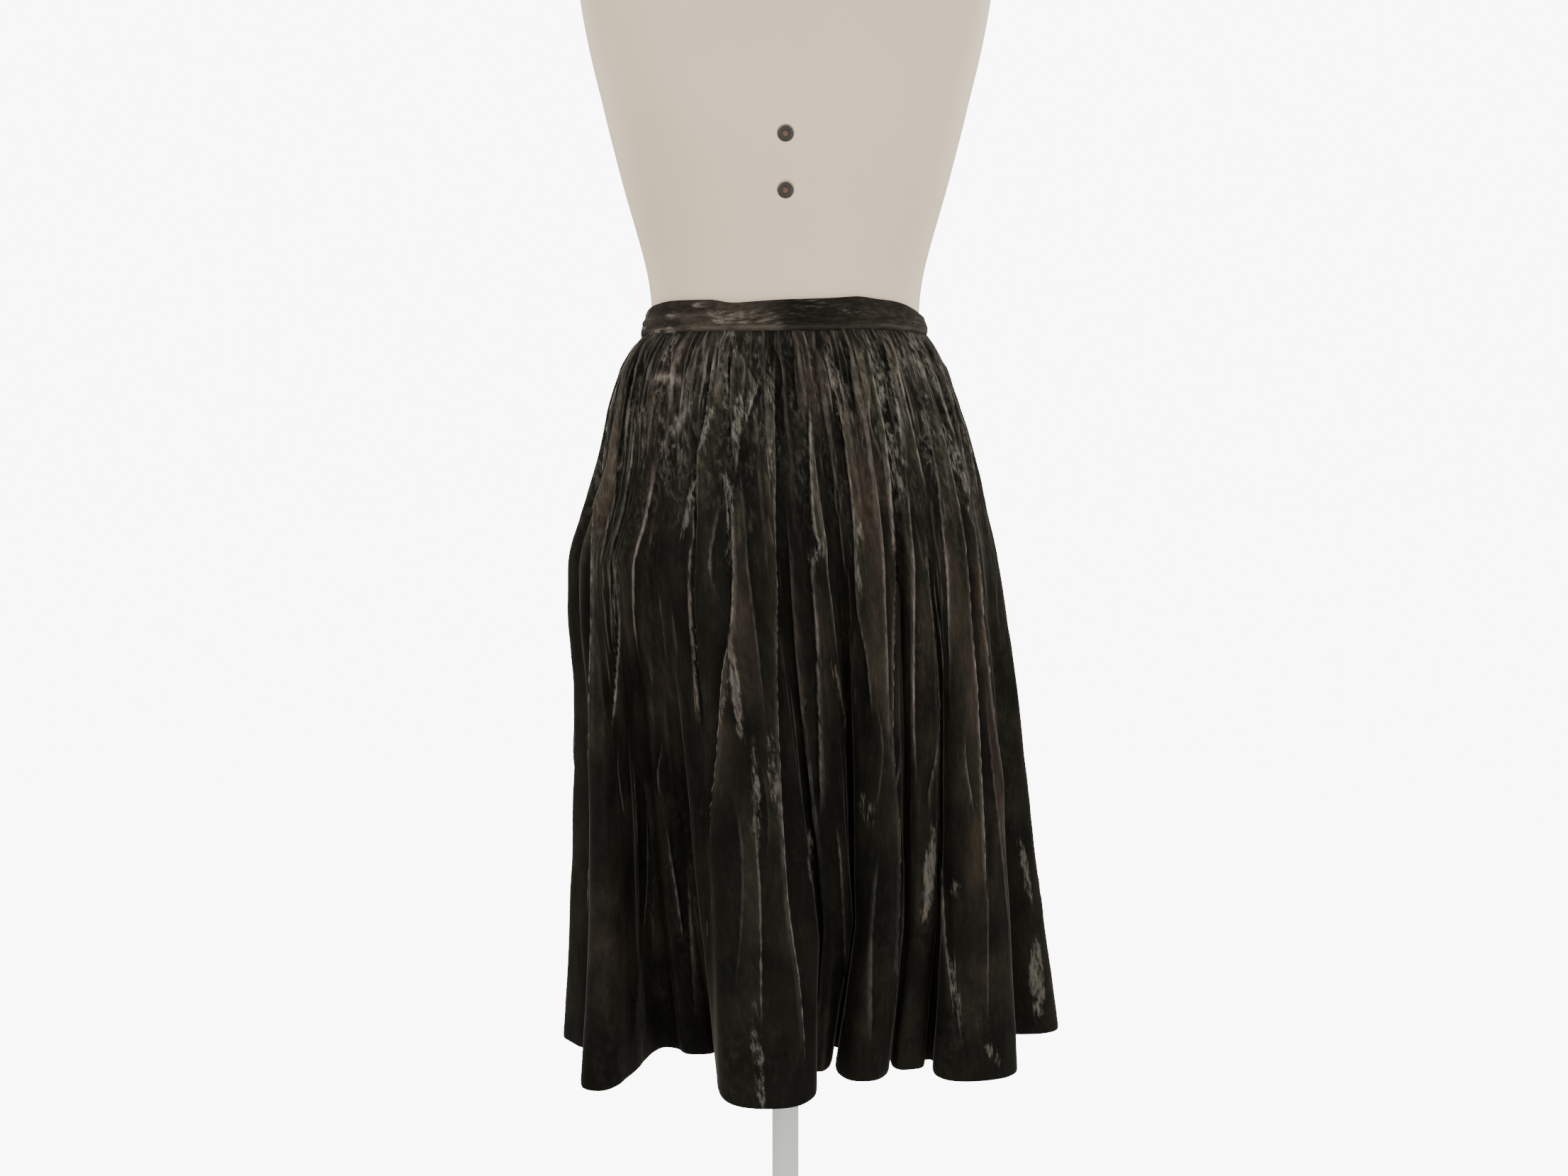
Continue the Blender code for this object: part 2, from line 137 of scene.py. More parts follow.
@dataclass(frozen=True)
class Stroke:
    """A patch where the pile lies the other way and looks lighter, in millimetres."""

    facing: Facing
    x: float
    drop: float
    half_width: float
    half_length: float
    slant: float
    shine: float


FOLDS = (
    Fold("side_left", (-0.207, -0.002), 0.022, -62, (-0.169, -0.040), 0.014),
    Fold("front_1", (-0.166, -0.135), 0.024, -14, (-0.110, -0.025), 0.014),
    Fold("front_2", (-0.083, -0.045), 0.014, 0, (-0.060, -0.038), 0.006),
    Fold("front_3", (-0.016, -0.177), 0.049, 0, (0.018, -0.078), 0.006),
    Fold("front_4", (0.031, -0.089), 0.010, 5, (0.047, -0.024), 0.005),
    Fold("front_5", (0.069, -0.113), 0.026, 5, (0.093, -0.042), 0.005),
    Fold("front_6", (0.111, -0.084), 0.018, 12, (0.130, -0.058), 0.010),
    Fold("front_7", (0.176, -0.111), 0.048, 12, (0.194, 0.006), 0.012),
    Fold("side_right", (0.266, 0.036), 0.026, 80, (0.196, 0.068), 0.014),
    Fold("back_1", (0.186, 0.137), 0.034, 128, (0.128, 0.074), 0.010),
    Fold("back_2", (0.098, 0.176), 0.042, 165, (0.060, 0.088), 0.008),
    Fold("back_3", (0.031, 0.160), 0.028, 176, (0.000, 0.098), 0.010),
    Fold("back_4", (-0.045, 0.181), 0.044, 188, (-0.084, 0.080), 0.008),
    Fold("back_5", (-0.116, 0.154), 0.030, 205, (-0.136, 0.072), 0.008),
    Fold("back_6", (-0.176, 0.104), 0.032, 238, (-0.166, 0.046), 0.012),
)

OVALS = (
    OvalLevel(0.000, 0.1310, 0.1290, 0.0975, 0.0945),
    OvalLevel(0.025, 0.1430, 0.1390, 0.1070, 0.1040),
    OvalLevel(0.055, 0.1505, 0.1470, 0.1150, 0.1120),
    OvalLevel(0.110, 0.1580, 0.1590, 0.1225, 0.1220),
    OvalLevel(0.180, 0.1640, 0.1720, 0.1290, 0.1310),
    OvalLevel(0.260, 0.1760, 0.1820, 0.1350, 0.1380),
    OvalLevel(0.320, 0.1870, 0.1895, 0.1370, 0.1410),
    OvalLevel(0.380, 0.1865, 0.1945, 0.1360, 0.1420),
    OvalLevel(0.500, 0.1790, 0.2020, 0.1300, 0.1400),
    OvalLevel(0.700, 0.1770, 0.2090, 0.1200, 0.1340),
    OvalLevel(1.000, 0.1800, 0.2200, 0.1050, 0.1280),
)

F, B = Facing.FRONT, Facing.BACK
CREASES = (
    Crease("left_rim", F,
           ((-150, 30), (-163, 90), (-171, 200), (-173, 350), (-179, 450), (-184, 540)),
           -1, 2.4, 1.6, 0.7),
    Crease("left_crumple", F,
           ((-153, 190), (-151, 230), (-148, 262), (-150, 310), (-153, 360)),
           -1, 3.0, 1.6, 0.5),
    Crease("left_furrow", F, ((-112, 90), (-114, 220), (-113, 340), (-108, 430)), 0, 3.0, -2.4, 0.0),
    Crease("left_middle", F, ((-79, 110), (-79, 230), (-76, 300), (-71, 360)), 1, 2.4, 2.4, 0.5),
    Crease("wide_fold_left", F,
           ((-47, 140), (-44, 200), (-45, 250), (-53, 300), (-57, 360), (-66, 450)),
           -1, 2.8, 3.0, 0.6),
    Crease("wide_fold_band", F, ((-47, 262), (-41, 300), (-38, 356)), -1, 2.2, 1.4, 0.7),
    Crease("wide_fold_right", F,
           ((-10, 22), (-9, 200), (-8, 290), (-4, 400), (2, 490), (11, 560), (17, 630)),
           1, 2.4, 2.4, 0.7),
    Crease("kinked", F,
           ((20, 60), (21, 120), (25, 180), (30, 191), (22, 206), (26, 270), (31, 430)),
           -1, 2.2, 2.0, 0.5),
    Crease("centre_right", F,
           ((40, 36), (50, 100), (58, 170), (61, 240), (70, 290), (75, 340)),
           -1, 2.2, 1.8, 0.5),
    Crease("notched_fold_right", F,
           ((68, 4), (76, 50), (84, 90), (90, 140), (94, 200), (92, 350), (99, 470), (97, 600)),
           1, 2.4, 2.8, 0.7),
    Crease("right_furrow", F, ((99, 170), (98, 240), (95, 300)), 0, 3.0, -2.4, 0.0),
    Crease("right_short", F, ((94, 12), (103, 60), (112, 100), (121, 140)), 1, 2.0, 1.8, 0.5),
    Crease("right_middle", F,
           ((120, 165), (124, 230), (130, 275), (137, 340), (138, 430), (141, 520), (150, 620)),
           1, 2.2, 1.8, 0.3),
    Crease("right_1", F,
           ((112, 4), (128, 60), (146, 140), (157, 200), (163, 270), (169, 340), (176, 500)),
           1, 2.4, 2.6, 0.6),
    Crease("right_2", F,
           ((128, 8), (148, 70), (163, 140), (176, 270), (183, 340), (193, 410), (208, 550), (212, 630)),
           1, 2.4, 2.4, 0.8),
    Crease("right_3", F, ((134, 14), (152, 60), (168, 110), (180, 175)), 1, 2.0, 1.4, 0.6),
    Crease("swirl_top", F, ((-120, 54), (-109, 43), (-96, 45), (-87, 56)), 0, 4.0, 1.2, 0.6),
    Crease("swirl_side", F, ((-85, 60), (-84, 74), (-92, 88), (-106, 99)), 0, 4.0, 1.2, 0.6),
    Crease("swirl_low", F, ((-120, 60), (-113, 76), (-100, 84)), 0, 4.0, -1.4, 0.1),
    Crease("upper_left_1", F, ((-132, 12), (-141, 60), (-149, 120), (-152, 180)), 1, 4.5, 1.6, 0.1),
    Crease("upper_left_2", F, ((-60, 16), (-66, 70), (-74, 120), (-86, 180)), -1, 3.0, 1.8, 0.5),
    Crease("upper_left_3", F, ((-44, 2), (-46, 60), (-44, 128)), -1, 2.4, 2.0, 0.3),
    Crease("upper_middle_1", F, ((-34, 30), (-38, 90), (-43, 140)), 1, 2.4, 1.6, 0.4),
    Crease("upper_middle_2", F, ((-17, 30), (-28, 66), (-38, 100)), 1, 3.0, 1.6, 0.4),
    Crease("upper_middle_3", F, ((6, 6), (9, 50), (12, 90)), -1, 2.4, 1.8, 0.2),
    Crease("upper_middle_4", F, ((30, 8), (38, 40), (47, 76)), 1, 3.4, 2.0, 0.5),
    Crease("upper_right_1", F, ((52, 4), (57, 40), (62, 90)), -1, 2.4, 1.8, 0.2),
    Crease("upper_right_2", F, ((84, 4), (94, 60), (101, 120)), -1, 2.2, 1.6, 0.4),
    Crease("low_left_1", F, ((-108, 440), (-100, 500), (-92, 565)), 1, 2.4, 1.6, 0.4),
    Crease("low_left_2", F, ((-127, 400), (-126, 470), (-131, 560), (-136, 640)), -1, 5.0, 1.6, 0.2),
    Crease("low_left_3", F, ((-89, 480), (-86, 560), (-82, 640)), -1, 3.0, 1.6, 0.1),
    Crease("low_wide_fold", F, ((-29, 380), (-25, 430), (-21, 500), (-20, 600)), 1, 3.6, 1.4, 0.3),
    Crease("low_middle_1", F, ((44, 430), (48, 490), (52, 560), (56, 640)), -1, 3.0, 1.6, 0.2),
    Crease("low_middle_2", F, ((81, 460), (76, 540), (75, 640)), 1, 2.6, 1.8, 0.1),
    Crease("low_right_1", F, ((148, 540), (151, 590), (156, 640)), -1, 4.0, 1.4, 0.3),
    Crease("low_right_2", F, ((232, 360), (238, 450), (246, 560)), -1, 4.0, 1.6, 0.3),
    Crease("back_1", B, ((134, 6), (151, 80), (166, 190), (178, 320), (188, 460)), 1, 2.6, 2.4, 0.5),
    Crease("back_2", B, ((112, 4), (126, 90), (139, 200), (150, 330), (152, 450)), -1, 2.6, 2.2, 0.4),
    Crease("back_3", B, ((88, 10), (98, 100), (108, 230), (116, 350)), 1, 2.4, 2.0, 0.5),
    Crease("back_4", B, ((64, 4), (70, 110), (80, 240), (82, 380), (76, 500)), -1, 2.6, 2.6, 0.5),
    Crease("back_5", B, ((38, 12), (43, 80), (48, 170)), 1, 2.4, 2.0, 0.4),
    Crease("back_6", B, ((20, 210), (24, 320), (26, 440), (20, 560)), 1, 2.8, 2.0, 0.4),
    Crease("back_7", B, ((-18, 6), (-22, 90), (-24, 220), (-28, 360), (-30, 520)), -1, 2.6, 2.4, 0.6),
    Crease("back_8", B, ((-48, 8), (-56, 100), (-64, 210), (-72, 330)), 1, 2.6, 2.2, 0.4),
    Crease("back_9", B, ((-76, 4), (-86, 90), (-98, 210), (-110, 360), (-117, 500)), -1, 2.6, 2.4, 0.6),
    Crease("back_10", B, ((-104, 6), (-118, 80), (-132, 190), (-142, 310)), 1, 2.4, 2.0, 0.4),
    Crease("back_11", B, ((-130, 8), (-146, 80), (-160, 180), (-172, 300), (-180, 430)), -1, 2.6, 2.2, 0.5),
)

CREASE_FAMILIES = (
    CreaseFamily("gather_lines", 100, 1, (-0.02, 0.04), (0.04, 0.16), (0.9, 1.7), (0.4, 1.1), (0.0, 0.5)),
    CreaseFamily("short_lines", 60, 4, (0.04, 0.60), (0.06, 0.16), (0.9, 1.8), (0.3, 0.9), (0.1, 0.6)),
    CreaseFamily("pleat_lines", 24, 2, (-0.02, 0.25), (0.28, 0.60), (1.5, 2.4), (0.7, 1.8), (0.1, 0.8)),
    CreaseFamily("fold_lines", 20, 3, (0.40, 0.70), (0.20, 0.45), (2.4, 3.2), (0.5, 1.3), (0.1, 0.6)),
)

# Columns: x, drop, half width, half length, slant and shine
FRONT_STROKES = (
    (128, 486, 6.0, 40, -0.10, 1.0),
    (132, 442, 4.0, 14, -0.10, 0.6),
    (70, 422, 8.0, 14, 0.25, 0.5),
    (21, 461, 6.5, 18, 0.06, 0.6),
    (-64, 494, 3.0, 13, -0.05, 0.6),
    (-69, 535, 3.0, 10, -0.05, 0.4),
    (-115, 500, 4.0, 34, -0.30, 0.3),
    (-25, 398, 4.5, 44, 0.03, 0.6),
    (-21, 640, 4.0, 44, 0.05, 0.6),
    (-26, 598, 5.0, 22, 0.00, 0.4),
    (150, 586, 3.0, 28, 0.20, 0.6),
    (183, 641, 5.0, 9, 0.60, 0.6),
    (148, 495, 4.5, 8, -0.50, 0.6),
    (157, 392, 4.0, 10, 0.40, 0.4),
    (166, 418, 4.0, 8, -0.50, 0.4),
    (240, 612, 8.0, 36, 0.05, 0.9),
    (228, 506, 5.0, 32, 0.20, 0.7),
    (116, 22, 6.0, 24, 0.25, 0.9),
    (128, 30, 4.0, 26, 0.35, 0.8),
    (146, 108, 5.0, 22, 0.25, 0.8),
    (158, 140, 4.0, 40, 0.20, 0.7),
    (166, 160, 3.5, 36, 0.20, 0.6),
    (96, 118, 9.0, 34, 0.10, 0.5),
    (78, 40, 4.0, 34, 0.22, 0.8),
    (40, 42, 6.0, 20, 0.30, 0.8),
    (46, 76, 4.0, 18, 0.20, 0.5),
    (-108, 46, 9.0, 9, -0.60, 0.6),
    (-84, 62, 4.0, 18, 0.15, 0.6),
    (-98, 92, 8.0, 14, -0.75, 0.8),
    (-104, 20, 7.0, 14, -0.60, 0.6),
    (-128, 78, 6.0, 16, -0.30, 0.4),
    (-68, 92, 5.0, 22, -0.30, 0.8),
    (-83, 160, 4.5, 26, -0.25, 0.9),
    (-40, 84, 4.0, 30, -0.10, 0.7),
    (-31, 66, 4.0, 18, -0.50, 0.6),
    (-44, 14, 3.5, 14, 0.10, 0.6),
    (-14, 50, 3.0, 24, 0.00, 0.7),
    (-13, 120, 3.0, 14, 0.00, 0.6),
    (-48, 150, 5.0, 22, 0.05, 0.7),
    (-47, 196, 4.0, 26, 0.03, 0.5),
    (27, 197, 5.0, 10, -0.50, 0.9),
    (61, 212, 3.0, 28, 0.04, 0.6),
    (63, 182, 3.5, 10, 0.10, 0.7),
    (-42, 308, 4.0, 44, 0.10, 0.9),
    (-54, 330, 3.0, 26, -0.20, 0.6),
    (-151, 232, 4.0, 36, 0.00, 0.6),
    (122, 206, 4.0, 26, 0.05, 0.6),
    (128, 268, 4.0, 16, 0.20, 0.5),
    (44, 312, 4.0, 30, 0.20, 0.4),
    (-10, 385, 5.0, 40, 0.10, 0.5),
)

BACK_STROKES = (
    (120, 60, 7.0, 26, 0.20, 0.7),
    (146, 160, 5.0, 34, 0.15, 0.7),
    (84, 130, 5.0, 28, 0.15, 0.6),
    (60, 48, 5.0, 24, 0.15, 0.7),
    (30, 90, 6.0, 22, -0.30, 0.5),
    (12, 260, 5.0, 34, 0.05, 0.6),
    (-26, 130, 4.0, 34, -0.05, 0.7),
    (-60, 60, 6.0, 24, -0.25, 0.7),
    (-92, 150, 5.0, 34, -0.20, 0.7),
    (-124, 84, 6.0, 26, -0.30, 0.6),
    (-150, 200, 5.0, 34, -0.15, 0.6),
    (150, 400, 7.0, 40, 0.08, 0.8),
    (96, 470, 6.0, 34, -0.10, 0.6),
    (-46, 440, 7.0, 40, 0.06, 0.7),
    (-112, 540, 6.0, 30, -0.15, 0.6),
    (52, 590, 5.0, 26, 0.10, 0.5),
    (196, 520, 7.0, 30, 0.10, 0.7),
    (-180, 470, 6.0, 34, -0.05, 0.6),
)

STROKES = (
    *(Stroke(F, *row) for row in FRONT_STROKES),
    *(Stroke(B, *row) for row in BACK_STROKES),
)


def eased(places: np.ndarray, values: np.ndarray, at: np.ndarray | float) -> np.ndarray:
    """Reads a smooth line through a short table, with no overshoot between its rows.

    Args:
        places: Where the rows lie, rising.
        values: The value in each row.
        at: Where to read.

    Returns:
        The values at those places.
    """
    places, values, at = (np.asarray(a, float) for a in (places, values, at))
    slopes = np.diff(values) / np.diff(places)
    before, after = slopes[:-1], slopes[1:]
    same_way = before * after > 0
    inner = np.where(same_way, 2 * before * after / np.where(same_way, before + after, 1), 0)
    tangents = np.concatenate([slopes[:1], inner, slopes[-1:]])
    i = np.clip(np.searchsorted(places, at) - 1, 0, len(places) - 2)
    span = places[i + 1] - places[i]
    t = np.clip((at - places[i]) / span, 0, 1)
    return (
        values[i] * (1 + 2 * t) * (1 - t) ** 2
        + values[i + 1] * t**2 * (3 - 2 * t)
        + span * tangents[i] * t * (1 - t) ** 2
        - span * tangents[i + 1] * t**2 * (1 - t)
    )


def oval(bearing: np.ndarray, left: float, right: float, front: float, back: float) -> np.ndarray:
    """Points of an oval in plan; bearing 0 is the front, and it turns towards +X."""
    across, along = np.sin(bearing), -np.cos(bearing)
    x = np.where(across > 0, right, left) * across
    y = np.where(along > 0, back, front) * along
    return np.stack([x, y], axis=-1)


def length_shares(points: np.ndarray) -> np.ndarray:
    """How far along a closed line each point lies, and 1 at its end, as shares of the whole."""
    steps = np.linalg.norm(np.roll(points, -1, axis=0) - points, axis=1)
    along = np.concatenate([[0.0], np.cumsum(steps)])
    return along / along[-1]


def hills(u: np.ndarray, v: np.ndarray, size_u: float, size_v: float, seed: int) -> np.ndarray:
    """Smooth uneven values between -1 and 1 over a flat cloth, the same on each run.

    Args:
        u: Place across the cloth, in metres.
        v: Place down the cloth, in metres.
        size_u: Spacing of the hills across.
        size_v: Spacing of the hills down.
        seed: Which pattern.

    Returns:
        The height at each place.
    """
    table = np.random.default_rng(seed).uniform(-1, 1, (64, 64))
    i, j = u / size_u, v / size_v
    i0, j0 = np.floor(i).astype(int), np.floor(j).astype(int)
    s, t = i - i0, j - j0
    s, t = s * s * (3 - 2 * s), t * t * (3 - 2 * t)
    corner = [[table[(i0 + a) % 64, (j0 + b) % 64] for b in (0, 1)] for a in (0, 1)]
    near = corner[0][0] * (1 - t) + corner[0][1] * t
    far = corner[1][0] * (1 - t) + corner[1][1] * t
    return near * (1 - s) + far * s


def bell(
    value: np.ndarray | float, middle: np.ndarray | float, width: np.ndarray | float
) -> np.ndarray:
    """A bell curve: 1 at its middle, and about a third one width away."""
    return np.exp(-(((value - middle) / width) ** 2))


def waist_dip(bearing: np.ndarray) -> np.ndarray:
    """How far the seam under the waistband lies below its height at the centre back.

    The band sits lower in front than behind, and a little unevenly.
    """
    raised = 2.2 * MM * bell(bearing, 0.75, 0.40)
    sunk = 1.6 * MM * bell(bearing, -1.70, 0.50)
    return WAIST_TILT * (1 + np.cos(bearing)) / 2 - raised + sunk


@dataclass
class Modeller:
    """Edit-mode modelling of hard pieces, one object at a time."""

    def start(self) -> None:
        """Leaves nothing selected and Object mode active."""
        if bpy.context.mode != "OBJECT":
            bpy.ops.object.mode_set(mode="OBJECT")
        bpy.ops.object.select_all(action="DESELECT")

    def named(self, name: str) -> bpy.types.Object:
        """Names the active object and its mesh."""
        obj = bpy.context.object
        obj.name = name
        obj.data.name = name
        return obj

    def turned(self, name: str, profile: tuple[tuple[float, float], ...], sides: int) -> bpy.types.Object:
        """Raises a closed round piece from a disc, by extruding and resizing its top.

        Args:
            name: Name of the piece.
            profile: Radius and height of each level, lowest first.
            sides: Sides of the circle.

        Returns:
            The piece, its axis on Z.
        """
        self.start()
        radius, height = profile[0]
        bpy.ops.mesh.primitive_circle_add(
            vertices=sides, radius=radius, fill_type="NGON", location=(0, 0, height)
        )
        bpy.ops.object.mode_set(mode="EDIT")
        bpy.ops.mesh.select_all(action="SELECT")
        for next_radius, next_height in profile[1:]:
            self.raise_top((0, 0, next_height - height), next_radius / radius, next_radius / radius)
            radius, height = next_radius, next_height
        self.close_mesh()
        return self.named(name)

    def raise_top(self, move: tuple[float, float, float], wide: float, deep: float) -> None:
        """Extrudes the selected top by a move, then resizes it about its own middle."""
        bpy.ops.mesh.extrude_region_move(TRANSFORM_OT_translate={"value": move})
        bpy.ops.transform.resize(value=(wide, deep, 1), center_override=self.top_middle())

    def top_middle(self) -> Vector:
        """The middle of the selected vertices."""
        obj = bpy.context.edit_object
        obj.update_from_editmode()
        picked = [v.co for v in obj.data.vertices if v.select]
        return obj.matrix_world @ (sum(picked, Vector()) / len(picked))

    def close_mesh(self) -> None:
        """Turns every face outwards and leaves edit mode, with the place in the mesh."""
        bpy.ops.mesh.select_all(action="SELECT")
        bpy.ops.mesh.normals_make_consistent(inside=False)
        bpy.ops.object.mode_set(mode="OBJECT")
        bpy.ops.object.transform_apply(location=True, rotation=True, scale=True)

    def modified(self, obj: bpy.types.Object, kind: str, **settings: object) -> None:
        """Adds a modifier with its settings and applies it."""
        bpy.context.view_layer.objects.active = obj
        modifier = obj.modifiers.new("shape", kind)
        for name, value in settings.items():
            setattr(modifier, name, value)
        bpy.ops.object.modifier_apply(modifier=modifier.name)

    def cut(self, obj: bpy.types.Object, cutter: bpy.types.Object) -> None:
        """Cuts one piece out of another, and removes the cutter."""
        self.modified(obj, "BOOLEAN", operation="DIFFERENCE", object=cutter)
        bpy.data.objects.remove(cutter)

    def smooth(self, obj: bpy.types.Object, degrees: float = 35.0) -> None:
        """Shades a piece smooth up to an angle."""
        self.start()
        obj.select_set(True)
        bpy.context.view_layer.objects.active = obj
        bpy.ops.object.shade_smooth_by_angle(angle=math.radians(degrees))
        obj.select_set(False)

    def place(self, obj: bpy.types.Object, matrix: Matrix) -> None:
        """Moves a piece's mesh, so that its object stays at the origin."""
        obj.data.transform(matrix)
        obj.data.update()


MODELLER = Modeller()


@dataclass(frozen=True)
class Value:
    """One output of a node, which takes part in sums as a number does."""

    graph: Graph
    node: bpy.types.Node
    output: str | int = 0

    def of(self, output: str | int) -> Value:
        """Another output of the same node."""
        return Value(self.graph, self.node, output)

    def __add__(self, other: Value | float) -> Value:
        """The sum."""
        return self.graph.math("ADD", self, other)

    def __sub__(self, other: Value | float) -> Value:
        """The difference."""
        return self.graph.math("SUBTRACT", self, other)

    def __mul__(self, other: Value | float) -> Value:
        """The product."""
        return self.graph.math("MULTIPLY", self, other)

    def __truediv__(self, other: Value | float) -> Value:
        """The quotient."""
        return self.graph.math("DIVIDE", self, other)

    def __abs__(self) -> Value:
        """The value without its sign."""
        return self.graph.math("ABSOLUTE", self, 0.0)

    def held(self) -> Value:
        """The same sum, held between 0 and 1."""
        self.node.use_clamp = True
        return self

    def between(
        self, low: float, high: float, to_low: float = 0.0, to_high: float = 1.0, kind: str = "SMOOTHSTEP"
    ) -> Value:
        """The value brought from one range to another, smoothly or evenly, and held at its ends."""
        inputs = {"Value": self, "From Min": low, "From Max": high, "To Min": to_low, "To Max": to_high}
        return self.graph.add("ShaderNodeMapRange", inputs, "Result", interpolation_type=kind)


class Graph:
    """A node tree while it is being wired."""

    def __init__(self, tree: bpy.types.NodeTree) -> None:
        """Starts with an empty tree."""
        self.tree = tree
        tree.nodes.clear()

    def add(self, kind: str, inputs: dict | None = None, output: str | int = 0, **settings: object) -> Value:
        """Adds a node.

        Args:
            kind: The node's type name.
            inputs: Numbers, colours, or the values to link from, by input name or number.
            output: Which of its outputs is meant.
            settings: The node's own properties.

        Returns:
            That output of the node.
        """
        node = self.tree.nodes.new(kind)
        for name, value in settings.items():
            setattr(node, name, value)
        for key, value in (inputs or {}).items():
            socket = node.inputs[key]
            if isinstance(value, Value):
                self.tree.links.new(value.node.outputs[value.output], socket)
            else:
                socket.default_value = (*value, 1.0) if socket.type == "RGBA" else value
        return Value(self, node, output)

    def math(self, operation: str, first: Value, second: Value | float) -> Value:
        """The result of a Math node."""
        return self.add("ShaderNodeMath", {0: first, 1: second}, operation=operation)

    def mixed(self, factor: Value, first: Value | tuple, second: Value | tuple) -> Value:
        """Two colours mixed."""
        return self.add("ShaderNodeMix", {0: factor, 6: first, 7: second}, 2, data_type="RGBA")

    def scaled(self, vector: Value, factor: Value | float) -> Value:
        """A vector made longer or shorter, or a colour made lighter or darker."""
        return self.add("ShaderNodeVectorMath", {0: vector, "Scale": factor}, operation="SCALE")

    def noise(self, vector: Value, scale: Value | float, detail: float = 2.0, rough: float = 0.5) -> Value:
        """A noise value between 0 and 1."""
        inputs = {"Vector": vector, "Scale": scale, "Detail": detail, "Roughness": rough}
        return self.add("ShaderNodeTexNoise", inputs, "Fac")

    def stretched(self, vector: Value, squash: float, turn: float = 0.0) -> Value:
        """A vector squashed down its length, after a turn about Z in degrees."""
        turned = self.add("ShaderNodeMapping", {"Vector": vector, "Rotation": (0, 0, math.radians(turn))})
        return self.add("ShaderNodeMapping", {"Vector": turned, "Scale": (1.0, squash, 1.0)})

    def swayed(self, vector: Value, scale: float, reach: float) -> Value:
        """A vector moved about by a noise, up to about half the reach each way."""
        sway = self.noise(vector, scale).of("Color")
        centred = self.add("ShaderNodeVectorMath", {0: sway, 1: (0.5, 0.5, 0.5)}, operation="SUBTRACT")
        return self.add("ShaderNodeVectorMath", {0: vector, 1: self.scaled(centred, reach)})

    def marks(self, layer: str) -> tuple[Value, ...]:
        """The four marks in one layer of a cloth piece."""
        stored = self.add("ShaderNodeVertexColor", layer_name=layer)
        parts = self.add("ShaderNodeSeparateColor", {0: stored})
        return parts, parts.of(1), parts.of(2), stored.of("Alpha")

    def surface(self, height: Value, strength: float, relief: float, **inputs: object) -> None:
        """Ends a material with a Principled surface.

        Args:
            height: How high the surface stands, from 0 to 1.
            strength: How strongly the height bends the light.
            relief: The height's full size in metres.
            inputs: The surface's inputs, their names with underscores for spaces.
        """
        bump = self.add("ShaderNodeBump", {"Height": height, "Strength": strength, "Distance": relief})
        named = {name.replace("_", " "): value for name, value in inputs.items()}
        shader = self.add("ShaderNodeBsdfPrincipled", {**named, "Normal": bump})
        self.add("ShaderNodeOutputMaterial", {0: shader})


def new_group(name: str, inputs: dict[str, str], outputs: tuple[str, ...]) -> tuple:
    """Starts a shader node group.

    Args:
        name: The group's name.
        inputs: Kind of socket by input name.
        outputs: Names of its outputs, which are numbers.

    Returns:
        The group, its graph and its first input.
    """
    tree = bpy.data.node_groups.new(name, "ShaderNodeTree")
    for label, kind in inputs.items():
        tree.interface.new_socket(label, in_out="INPUT", socket_type=f"NodeSocket{kind}")
    for label in outputs:
        tree.interface.new_socket(label, in_out="OUTPUT", socket_type="NodeSocketFloat")
    graph = Graph(tree)
    return tree, graph, graph.add("NodeGroupInput")


